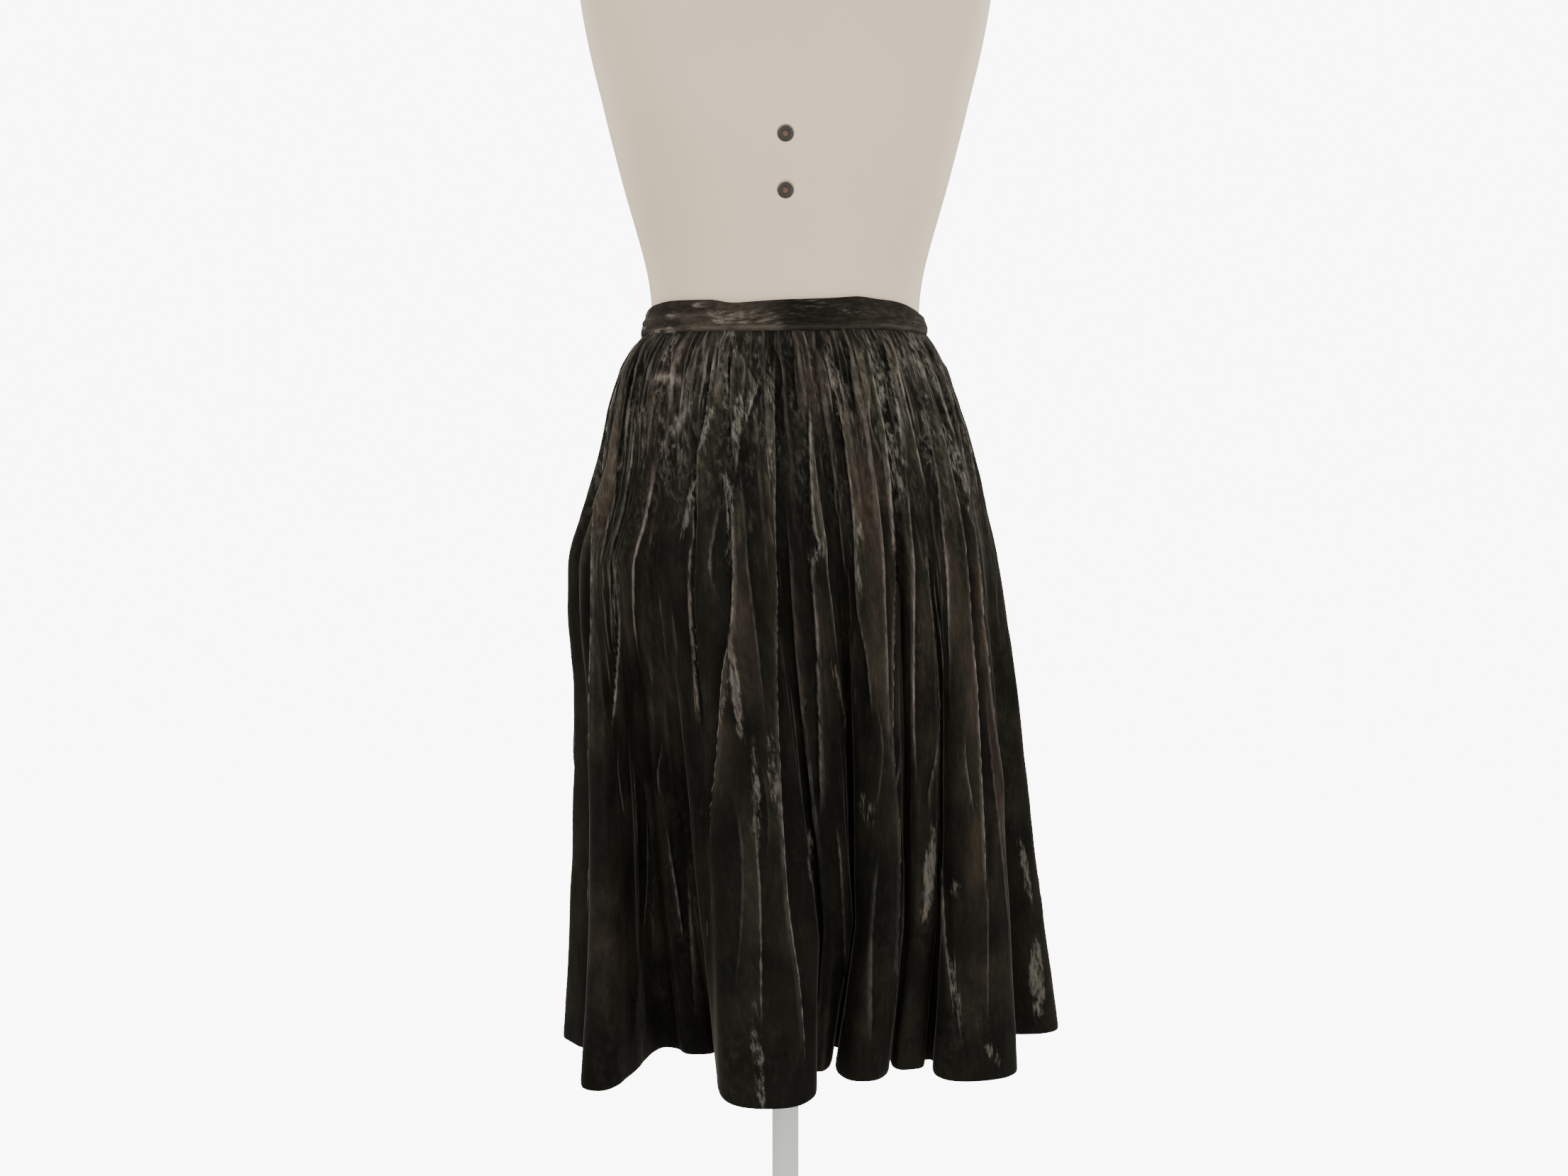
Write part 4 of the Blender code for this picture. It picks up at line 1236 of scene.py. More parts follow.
    def lay_stroke(self, stroke: Stroke, x: np.ndarray, drop: np.ndarray, marks: Relief) -> None:
        """Adds one light stroke of the pile to the relief."""
        down = drop - stroke.drop * MM
        across = (x - stroke.x * MM - stroke.slant * down) / self.squareness()
        distance = (across / (stroke.half_width * MM)) ** 2 + (down / (stroke.half_length * MM)) ** 2
        weight = stroke.shine * self.facing_weight(stroke.facing) * smooth_step((1.7 - distance) / 1.2)
        np.maximum(marks.stroke, weight, out=marks.stroke)


@dataclass
class VelvetSkirt:
    """Front panel and two back panels of gathered velvet, each one thin closed shell."""

    velvet: bpy.types.Material
    woven_back: bpy.types.Material
    shape: SkirtShape
    cloth: float = 1.6 * MM
    turn_up: float = 3.0 * MM
    turn_up_height: float = 30.0 * MM
    coarser: int = 4
    waist_cut: float = 1.05
    pattern_width: float = 1.5
    seam_dip: float = 1.3 * MM
    seam_reach: float = 2.6 * MM

    def build(self) -> list[bpy.types.Object]:
        """Builds the three panels, each with the name and place of its node."""
        surface = self.shape.surface()
        marks = CreaseCarver(surface).relief()
        outer = surface.points + surface.normals * marks.height[..., None]
        inner = self.inside(surface, marks.height)
        self.mark_folds(outer, marks)
        order = (LEFT_SEAM_AFTER, RIGHT_SEAM_AFTER, BACK_SEAM_AFTER)
        left, right, back = (surface.seams[name] for name in order)
        edges = {
            PanelPart.FRONT: (left, right),
            PanelPart.BACK_RIGHT: (right, back),
            PanelPart.BACK_LEFT: (back, left),
        }
        panels = []
        for part, (first, last) in edges.items():
            total = outer.shape[1]
            picked = [(first + k) % total for k in range((last - first) % total + 1)]
            panels.append(self.panel(part, surface, marks, outer[:, picked], inner[:, picked], picked))
        return panels

    def inside(self, surface: ClothSurface, height: np.ndarray) -> np.ndarray:
        """The inner side, held behind the lowest relief nearby so that the wall never crosses."""
        lowest = height.copy()
        for shift in range(-self.coarser, self.coarser + 1):
            lowest = np.minimum(lowest, np.roll(height, shift, axis=1))
        lowest[1:-1] = np.minimum(lowest[1:-1], np.minimum(lowest[:-2], lowest[2:]))
        above_hem = SKIRT_LENGTH - surface.drops
        turned = smooth_step((self.turn_up_height - above_hem) / (8.0 * MM))
        wall = self.cloth + (self.turn_up - self.cloth) * turned
        return surface.points + surface.normals * (lowest - wall[:, None])[..., None]

    def mark_folds(self, outer: np.ndarray, marks: Relief) -> None:
        """Adds to the marks the painted highlight on the sharp ridges of the finished form, and the mark that
        lightens its hollows as painted fill light.
        """
        normals = ring_normals(outer)
        step = self.coarser
        before, after = np.roll(outer, step, axis=1), np.roll(outer, -step, axis=1)
        spacing = np.linalg.norm(after - before, axis=2) / 2
        bend = -((before + after - 2 * outer) * normals).sum(axis=2) / np.maximum(spacing, 1e-4) ** 2
        # Painted highlight along sharp crests, where the pile opens and catches the sheen.
        marks.ridge = np.clip(marks.ridge + 0.34 * smooth_step((bend - 60.0) / 240.0), 0, 1)
        # Painted fill light in the hollows.
        marks.deep = np.clip(marks.deep + 0.7 * smooth_step((-bend - 40.0) / 220.0), 0, 1)

    def panel(
        self, part: PanelPart, surface: ClothSurface, marks: Relief, outer: np.ndarray,
        inner: np.ndarray, picked: list[int],
    ) -> bpy.types.Object:
        """Builds one panel.

        Args:
            part: Which panel.
            surface: The whole surface.
            marks: Its relief and marks.
            outer: The panel's outside points.
            inner: The panel's inside points.
            picked: Its columns in the whole surface.

        Returns:
            The panel, with its flat map, its marks and its two materials.
        """
        outer, inner = outer.copy(), inner.copy()
        self.close_to_seams(outer, inner, surface.normals[:, picked])
        roll = np.zeros(len(surface.drops))
        roll[-2:] = (0.15 * MM, 0.60 * MM)
        outer -= surface.normals[:, picked] * roll[:, None, None]
        layers = {
            layer: np.stack([getattr(marks, name)[:, picked] for name in names], axis=-1)
            for layer, names in MARK_LAYERS.items()
        }
        flat, flat_size, area = self.flat_map(surface, picked)
        step = self.coarser
        obj = cloth_shell(
            f"{part.value}_velvet", outer, inner[::step, ::step], step, flat, layers,
            (self.velvet, self.woven_back), 75.0,
        )
        handed_over(obj, part.value)
        return obj

    def close_to_seams(self, outer: np.ndarray, inner: np.ndarray, normals: np.ndarray) -> None:
        """Holds the side edges back by half the seam gap and lets the cloth dip into the seam."""
        for edge, beside in ((0, 1), (-1, -2)):
            way = 1 if edge == 0 else -1
            for k in range(1, 5):
                distance = np.linalg.norm(outer[:, edge + way * k] - outer[:, edge], axis=1)
                dip = self.seam_dip * bell(distance, 0, self.seam_reach)
                outer[:, edge + way * k] -= normals[:, edge + way * k] * dip[:, None]
                inner[:, edge + way * k] -= normals[:, edge + way * k] * dip[:, None]
            outer[:, edge] -= normals[:, edge] * self.seam_dip
            inner[:, edge] -= normals[:, edge] * self.seam_dip
            for grid in (outer, inner):
                step = grid[:, beside] - grid[:, edge]
                grid[:, edge] += step * (SEAM_GAP / 2) / np.linalg.norm(step, axis=1)[:, None]

    def flat_map(self, surface: ClothSurface, picked: list[int]) -> tuple:
        """Lays a panel's pattern flat, its upright lines along the folds, and works out its cut.

        The cut is wider at the hem than at the gathered waist. The pattern has one even width, so
        it is drawn together by the gathers and spreads towards the hem.

        Returns:
            The flat place of each point, the cut's width and length, and its area.
        """
        gather = np.unwrap(surface.gather[picked] * 2 * math.pi) / (2 * math.pi)
        middle = (gather[0] + gather[-1]) / 2
        u, v = np.meshgrid((gather - middle) * self.pattern_width + 3.0 * middle, surface.drops)
        fraction = float(gather[-1] - gather[0])
        widest = round(fraction * surface.hem_length, 3)
        area = fraction * (self.waist_cut + surface.hem_length) / 2 * SKIRT_LENGTH
        return np.stack([u, v], axis=-1), (widest, SKIRT_LENGTH), round(area, 3)


def shell_faces(outer: np.ndarray, inner: np.ndarray, ratio: int) -> tuple:
    """Faces of a closed shell between a fine outer grid and a coarser inner grid.

    Args:
        outer: Outer points, rows running down and columns to the right seen from outside.
        inner: Every ratio-th point, moved inwards.
        ratio: How many outer steps one inner step spans.

    Returns:
        The points, the faces, and each face's material slot: 0 outside and edges, 1 inside.
    """
    rows, cols = outer.shape[:2]
    low_rows, low_cols = inner.shape[:2]
    count = rows * cols
    points = np.concatenate([outer.reshape(-1, 3), inner.reshape(-1, 3)])
    r, c = np.mgrid[0 : rows - 1, 0 : cols - 1]
    a = (r * cols + c).ravel()
    outside = np.stack([a, a + cols, a + cols + 1, a + 1], axis=1)
    r, c = np.mgrid[0 : low_rows - 1, 0 : low_cols - 1]
    b = (count + r * low_cols + c).ravel()
    inside = np.stack([b, b + 1, b + low_cols + 1, b + low_cols], axis=1)
    borders = []
    for c in range(low_cols - 1):
        fine = [c * ratio + k for k in range(ratio + 1)]
        borders.append([*fine, count + c + 1, count + c])
        last = (rows - 1) * cols
        end = count + (low_rows - 1) * low_cols
        borders.append([end + c, end + c + 1, *(last + k for k in reversed(fine))])
    for r in range(low_rows - 1):
        fine = [(r * ratio + k) * cols for k in range(ratio + 1)]
        low = count + r * low_cols
        borders.append([low, low + low_cols, *reversed(fine)])
        low += low_cols - 1
        borders.append([*(k + cols - 1 for k in fine), low + low_cols, low])
    faces = [*outside.tolist(), *inside.tolist(), *borders]
    sides = [0] * len(outside) + [1] * len(inside) + [0] * len(borders)
    return points.tolist(), faces, sides


def both_sides(values: np.ndarray, ratio: int) -> np.ndarray:
    """Values of the outer points, then of the inner points under every ratio-th of them."""
    return np.concatenate([grid.reshape(-1, grid.shape[-1]) for grid in (values, values[::ratio, ::ratio])])


def cloth_shell(
    name: str, outer: np.ndarray, inner: np.ndarray, ratio: int, flat: np.ndarray,
    layers: dict[str, np.ndarray], finishes: tuple[bpy.types.Material, ...], sharp: float,
) -> bpy.types.Object:
    """Makes a closed shell of cloth with its flat map and its marks.

    Args:
        name: Name of the piece.
        outer: Outer points, rows running down and columns to the right seen from outside.
        inner: Every ratio-th point, moved inwards.
        ratio: How many outer steps one inner step spans.
        flat: Each outer point's place on the flat cloth.
        layers: Four marks of each outer point, by layer name.
        finishes: Materials of the outside and of the inside.
        sharp: Angle in degrees over which an edge stays sharp.

    Returns:
        The piece, linked to the scene.
    """
    points, faces, sides = shell_faces(outer, inner, ratio)
    mesh = bpy.data.meshes.new(name)
    mesh.from_pydata(points, [], faces)
    mesh.polygons.foreach_set("material_index", sides)
    corners = np.empty(len(mesh.loops), dtype=np.int32)
    mesh.loops.foreach_get("vertex_index", corners)
    places = both_sides(flat, ratio)[corners].astype(np.float32)
    mesh.uv_layers.new(name="cloth").uv.foreach_set("vector", places.ravel())
    for layer, marks in layers.items():
        attribute = mesh.color_attributes.new(layer, "FLOAT_COLOR", "POINT")
        attribute.data.foreach_set("color", both_sides(marks, ratio).astype(np.float32).ravel())
    mesh.shade_smooth()
    mesh.set_sharp_from_angle(angle=math.radians(sharp))
    for finish in finishes:
        mesh.materials.append(finish)
    obj = bpy.data.objects.new(name, mesh)
    bpy.context.scene.collection.objects.link(obj)
    return obj


@dataclass
class VelvetWaistband:
    """A doubled band of the same velvet that laps over itself at the centre back."""

    velvet: bpy.types.Material
    woven_back: bpy.types.Material
    height: float = 25.0 * MM
    thickness: float = 2.6 * MM
    columns: int = 600
    mean_radius: float = 0.116
    pattern_start: float = 2.0
    overlap: float = math.radians(16.0)
    overlap_lift: float = 3.4 * MM
    top: tuple[float, float, float, float] = (0.1268, 0.1256, 0.0932, 0.0887)
    bottom: tuple[float, float, float, float] = (0.1325, 0.1305, 0.0990, 0.0960)
    # Bearing, and how far the upper edge stands over an even band there, in millimetres
    upper_edge: tuple[tuple[float, float], ...] = (
        (-3.3, 0.0), (-2.2, -1.0), (-1.57, -3.5), (-1.15, 0.3), (-0.90, 2.2), (-0.55, 1.7),
        (-0.36, -1.4), (-0.20, -0.4), (0.0, 1.0), (0.36, 2.1), (0.51, 2.9), (0.70, 0.6),
        (0.85, -0.4), (1.00, -2.2), (1.16, -5.1), (1.31, -8.0), (1.57, -9.0), (2.2, -3.0), (3.3, 0.0),
    )

    def build(self) -> bpy.types.Object:
        """Builds the band with its topstitched ridge, its crumples and its uneven upper edge."""
        bearing = np.linspace(-math.pi - self.overlap / 2, math.pi + self.overlap / 2, self.columns)
        lift = self.overlap_lift * eased(
            (-1.0, 0.0, 1.0, 2.0), (0.0, 0.0, 1.0, 1.0),
            (bearing - math.pi + 1.7 * self.overlap) / (1.1 * self.overlap),
        )
        rises = np.array([1.00, 0.965, 0.90, 0.80, 0.71, 0.62, 0.56, 0.50, 0.44, 0.37, 0.30, 0.245, 0.20,
                          0.155, 0.10, 0.04, -0.01, -0.05])
        outer = self.face(bearing, rises, lift, self.outside)
        inner = self.face(bearing, rises, lift, self.inside)
        length = np.broadcast_to(bearing[None, :] * self.mean_radius, outer.shape[:2])
        flat = np.stack([np.broadcast_to(rises[:, None] * self.height, length.shape), length], axis=-1)
        marks = self.marks(bearing, rises)
        layers = {"pile": marks, "folds": np.broadcast_to(NO_FOLDS, marks.shape)}
        finishes = (self.velvet, self.woven_back)
        obj = cloth_shell("waistband_velvet", outer, inner, 1, flat, layers, finishes, 80.0)
        handed_over(obj, "waistband")
        return obj

    def outside(self, bearing: np.ndarray, rise: float) -> np.ndarray:
        """How far the outer face stands off the plain band at one height."""
        crease = 1 - smooth_step((bearing - 0.10) / 0.45) * smooth_step((1.9 - bearing) / 0.4)
        profile = eased(
            (-0.06, 0.00, 0.10, 0.20, 0.30, 0.38, 0.85, 1.00),
            (-1.2, -0.5, 0.5, 0.8, 1.0, 0.9, 1.0, 0.4), rise,
        ) * MM
        ridge = 1.0 * MM * crease * bell(rise, 0.50 + 0.03 * np.sin(5 * bearing), 0.075)
        groove = 0.7 * MM * crease * bell(rise, 0.64 + 0.04 * np.sin(4 * bearing + 1), 0.08)
        length = bearing * self.mean_radius + self.pattern_start
        rough = 0.35 * MM * hills(length, np.full_like(length, rise * self.height), 19 * MM, 8 * MM, 21)
        pucker = 0.30 * MM * bell(rise, 0, 0.22) * np.cos(96 * bearing + 2 * np.sin(5 * bearing))
        return profile + ridge - groove + rough + pucker

    def inside(self, bearing: np.ndarray, rise: float) -> np.ndarray:
        """The inner face's offset: the plain band's own thickness."""
        return np.full_like(bearing, -self.thickness)

    def face(
        self, bearing: np.ndarray, rises: np.ndarray, lift: np.ndarray,
        offset: Callable[[np.ndarray, float], np.ndarray],
    ) -> np.ndarray:
        """Points of one face of the band.

        Args:
            bearing: Bearing of each column.
            rises: Height of each row as a share of the band's height, highest first.
            lift: How far each column is carried outwards where the band laps.
            offset: The method that gives the face's distance from the plain band.

        Returns:
            The grid of points.
        """
        places, edges = zip(*self.upper_edge)
        upper = eased(places, edges, bearing) * MM
        rows = []
        for rise in rises:
            sizes = [low + rise * (high - low) for low, high in zip(self.bottom, self.top)]
            plan = oval(bearing, *sizes)
            outward = plan / np.linalg.norm(plan, axis=1)[:, None]
            height = WAIST_SEAM_HEIGHT + SEAM_GAP + rise * self.height - waist_dip(bearing)
            height += max(rise, 0.0) ** 2 * upper
            moved = plan + outward * (lift + offset(bearing, rise))[:, None]
            rows.append(np.concatenate([moved, height[:, None]], axis=1))
        return np.array(rows)

    def marks(self, bearing: np.ndarray, rises: np.ndarray) -> np.ndarray:
        """Strokes, the painted highlight on the ridges, calm, and the deep creases of the band, which the
        material lightens as painted fill light.
        """
        rise = np.broadcast_to(rises[:, None], (len(rises), len(bearing)))
        left = smooth_step((0.1 - bearing) / 0.8)[None, :]
        length = bearing[None, :] * self.mean_radius + self.pattern_start
        length = np.broadcast_to(length, rise.shape)
        patches = smooth_step((hills(length, rise * self.height, 26 * MM, 7 * MM, 31) - 0.1) / 0.5)
        stroke = patches * (0.25 + 0.65 * left)
        # Painted highlight along the lower lip, and along the topstitched ridge on the left.
        ridge = 0.30 * bell(rise, 0.08, 0.07) + 0.25 * bell(rise, 0.5, 0.06) * left
        # Painted fill light in the groove and along the band's tucked lower edge, through the mark that
        # lightens hollows.
        deep = 0.5 * bell(rise, 0.64, 0.06) * left
        deep += 0.7 * smooth_step((0.01 - rise) / 0.05)
        calm = np.full(rise.shape, 0.45)
        return np.stack([stroke, ridge, calm, np.clip(deep, 0, 1)], axis=-1)


@dataclass
class BandButton:
    """A flat four-hole button sewn to the lapped end of the waistband, its face to the back."""

    shell: bpy.types.Material
    thread: bpy.types.Material
    radius: float = 6.5 * MM
    height: float = 3.0 * MM
    hole_radius: float = 0.75 * MM
    hole_spacing: float = 1.35 * MM
    lift: float = 4.0 * MM
    band_top: float = 0.0887
    band_bottom: float = 0.0960
    band_height: float = 25.0 * MM

    def place(self) -> Matrix:
        """Stands a piece made along +Z on the sloping back of the band."""
        slope = math.atan((self.band_bottom - self.band_top) / self.band_height)
        depth = (self.band_top + self.band_bottom) / 2 + self.lift + SEAM_GAP
        where = Vector((0.0, depth, WAIST_SEAM_HEIGHT + self.band_height / 2))
        return Matrix.Translation(where) @ Matrix.Rotation(slope - math.pi / 2, 4, "X")

    def build(self) -> list[bpy.types.Object]:
        """Builds the button and the crossed thread in its holes."""
        r, h = self.radius, self.height
        profile = ((0.80 * r, 0.0), (0.97 * r, 0.30 * h), (r, 0.55 * h), (0.97 * r, 0.85 * h),
                   (0.90 * r, h), (0.82 * r, 0.97 * h), (0.72 * r, 0.74 * h), (0.60 * r, 0.68 * h),
                   (0.20 * r, 0.66 * h))
        button = MODELLER.turned("waistband_button_shell", profile, 64)
        corners = [(x, y) for x in (-1, 1) for y in (-1, 1)]
        for x, y in corners:
            hole = MODELLER.turned("hole", ((self.hole_radius, -h), (self.hole_radius, 2 * h)), 16)
            MODELLER.place(hole, Matrix.Translation((x * self.hole_spacing, y * self.hole_spacing, 0)))
            MODELLER.cut(button, hole)
        MODELLER.smooth(button, 40)
        MODELLER.place(button, self.place())
        button.data.materials.append(self.shell)
        handed_over(button, "waistband_button")
        return [button, handed_over(self.crossed_thread())]

    def crossed_thread(self) -> bpy.types.Object:
        """Two crossed bars of thread that come up through the holes."""
        MODELLER.start()
        bars = []
        for turn in (45, 135):
            bpy.ops.mesh.primitive_torus_add(
                major_segments=28, minor_segments=10, major_radius=self.hole_spacing * math.sqrt(2),
                minor_radius=0.34 * MM, location=(0, 0, 0.70 * self.height),
                rotation=(math.pi / 2, 0, math.radians(turn)),
            )
            bar = bpy.context.object
            bpy.ops.object.transform_apply(location=True, rotation=True, scale=True)
            bars.append(bar)
        for bar in bars:
            bar.select_set(True)
        bpy.ops.object.join()
        thread = MODELLER.named("waistband_button_thread")
        flatten = Matrix.Diagonal((1, 1, 0.45, 1))
        MODELLER.place(thread, Matrix.Translation((0, 0, 0.38 * self.height)) @ flatten)
        MODELLER.place(thread, self.place())
        MODELLER.smooth(thread, 60)
        thread.data.materials.append(self.thread)
        return thread


@dataclass(frozen=True)
class FormSection:
    """One level of the dress form, its height counted from the waist seam."""

    height: float
    side: float
    front: float
    back: float


FORM = (
    FormSection(-0.2760, 0.1020, 0.0660, 0.0740),
    FormSection(-0.2700, 0.1240, 0.0820, 0.0900),
    FormSection(-0.2500, 0.1420, 0.0960, 0.1030),
    FormSection(-0.2100, 0.1560, 0.1060, 0.1130),
    FormSection(-0.1600, 0.1570, 0.1060, 0.1120),
    FormSection(-0.1100, 0.1480, 0.1000, 0.1050),
    FormSection(-0.0600, 0.1340, 0.0930, 0.0940),
    FormSection(-0.0200, 0.1245, 0.0895, 0.0870),
    FormSection(0.0050, 0.1222, 0.0890, 0.0850),
    FormSection(0.0250, 0.1224, 0.0894, 0.0849),
    FormSection(0.0500, 0.1255, 0.0905, 0.0855),
    FormSection(0.0770, 0.1325, 0.0930, 0.0880),
    FormSection(0.1030, 0.1400, 0.0980, 0.0920),
    FormSection(0.1290, 0.1475, 0.1040, 0.0960),
    FormSection(0.1550, 0.1540, 0.1100, 0.1000),
    FormSection(0.1820, 0.1610, 0.1120, 0.1030),
    FormSection(0.2080, 0.1670, 0.1100, 0.1050),
    FormSection(0.2340, 0.1740, 0.1040, 0.1050),
    FormSection(0.2610, 0.1800, 0.0960, 0.1020),
    FormSection(0.2870, 0.1850, 0.0880, 0.0960),
    FormSection(0.3130, 0.1885, 0.0800, 0.0880),
    FormSection(0.3350, 0.1870, 0.0720, 0.0790),
    FormSection(0.3500, 0.1720, 0.0660, 0.0720),
    FormSection(0.3620, 0.1400, 0.0620, 0.0670),
    FormSection(0.3730, 0.1020, 0.0590, 0.0630),
    FormSection(0.3880, 0.0700, 0.0560, 0.0590),
    FormSection(0.4100, 0.0560, 0.0530, 0.0550),
    FormSection(0.4380, 0.0530, 0.0510, 0.0530),
    FormSection(0.4430, 0.0480, 0.0460, 0.0480),
    FormSection(0.4455, 0.0300, 0.0290, 0.0300),
)


@dataclass
class DressForm:
    """The smooth limbless torso with its two sunk screws."""

    shell: bpy.types.Material
    steel: bpy.types.Material
    socket: bpy.types.Material
    sides: int = 32
    cage_growth: float = 1 / 0.9936
    upper_screw: float = 0.1577
    lower_screw: float = 0.1119
    recess_radius: float = 7.4 * MM
    recess_depth: float = 4.0 * MM
    screw_radius: float = 6.4 * MM
    screw_thickness: float = 3.0 * MM
    socket_radius: float = 3.2 * MM
    socket_depth: float = 1.8 * MM

    def build(self) -> list[bpy.types.Object]:
        """Builds the torso and its screws."""
        torso = self.torso()
        pieces = [torso]
        for which, height in (("upper", self.upper_screw), ("lower", self.lower_screw)):
            MODELLER.cut(torso, self.recess(height))
            pieces.append(handed_over(self.screw(which, height), f"form_screw_{which}"))
        MODELLER.smooth(torso, 60)
        torso.data.materials.append(self.shell)
        handed_over(torso, "form_torso")
        return pieces

    def torso(self) -> bpy.types.Object:
        """Raises the torso level by level from a disc, and rounds it by subdivision."""
        MODELLER.start()
        first = FORM[0]
        bpy.ops.mesh.primitive_circle_add(
            vertices=self.sides, radius=1.0, fill_type="NGON",
            location=(0, 0, WAIST_SEAM_HEIGHT + first.height),
        )
        bpy.ops.object.mode_set(mode="EDIT")
        bpy.ops.mesh.select_all(action="SELECT")
        centre = MODELLER.top_middle()
        wide, deep = self.widths(first)
        bpy.ops.transform.resize(value=(wide, deep, 1), center_override=centre)
        bpy.ops.transform.translate(value=(0, (first.back - first.front) / 2, 0))
        for before, section in zip(FORM, FORM[1:]):
            shift = (section.back - section.front - before.back + before.front) / 2
            (old_wide, old_deep), (wide, deep) = self.widths(before), self.widths(section)
            rise = section.height - before.height
            MODELLER.raise_top((0, shift, rise), wide / old_wide, deep / old_deep)
        bpy.ops.mesh.inset(thickness=0.012)
        MODELLER.close_mesh()
        torso = MODELLER.named("form_torso_shell")
        MODELLER.modified(torso, "SUBSURF", levels=2, render_levels=2)
        return torso

    def widths(self, section: FormSection) -> tuple[float, float]:
        """Half width and half depth of the cage at one section."""
        return section.side * self.cage_growth, (section.front + section.back) / 2 * self.cage_growth

    def seat(self, height: float) -> Matrix:
        """Turns a piece made along +Z to point out of the form's front at a height."""
        heights = [section.height for section in FORM]
        front = float(eased(heights, [section.front for section in FORM], height))
        where = Vector((0.0, -front, WAIST_SEAM_HEIGHT + height))
        return Matrix.Translation(where) @ Matrix.Rotation(math.pi / 2, 4, "X")

    def recess(self, height: float) -> bpy.types.Object:
        """The cutter of one screw's recess, with a softly opened mouth."""
        r, deep = self.recess_radius, self.recess_depth
        profile = ((r, -deep), (r, -1.0 * MM), (r + 0.15 * MM, -0.45 * MM), (r + 0.6 * MM, 0.0),
                   (r + 1.3 * MM, 0.35 * MM), (r + 1.6 * MM, 10 * MM))
        cutter = MODELLER.turned("recess_cutter", profile, 64)
        MODELLER.place(cutter, self.seat(height))
        return cutter

    def screw(self, which: str, height: float) -> bpy.types.Object:
        """One domed socket screw, its rim rounded and its socket floor worn brown.

        Args:
            which: Upper or lower.
            height: Its height over the waist seam.

        Returns:
            The screw, in its recess.
        """
        r, seat = self.screw_radius, -self.recess_depth + SEAM_GAP
        rim = seat + self.screw_thickness
        profile = ((0.98 * r, seat), (r, seat + 0.4 * MM), (r, rim - 0.9 * MM), (0.965 * r, rim - 0.35 * MM),
                   (0.88 * r, rim - 0.05 * MM), (0.80 * r, rim), (0.62 * r, rim - 0.05 * MM))
        head = MODELLER.turned(f"form_screw_{which}_head", profile, 64)
        r, floor = self.socket_radius, rim - self.socket_depth
        hollow = ((0.9 * r, floor), (r, floor + 0.2 * MM), (r, rim - 0.4 * MM), (1.22 * r, rim + 0.1 * MM),
                  (1.3 * r, rim + 1 * MM))
        MODELLER.cut(head, MODELLER.turned("socket_cutter", hollow, 6))
        MODELLER.smooth(head, 30)
        head.data.materials.append(self.steel)
        head.data.materials.append(self.socket)
        for face in head.data.polygons:
            inside = Vector((face.center.x, face.center.y)).length < 0.92 * self.socket_radius
            face.material_index = int(inside and abs(face.center.z - floor) < 0.15 * MM)
        MODELLER.place(head, self.seat(height))
        return head


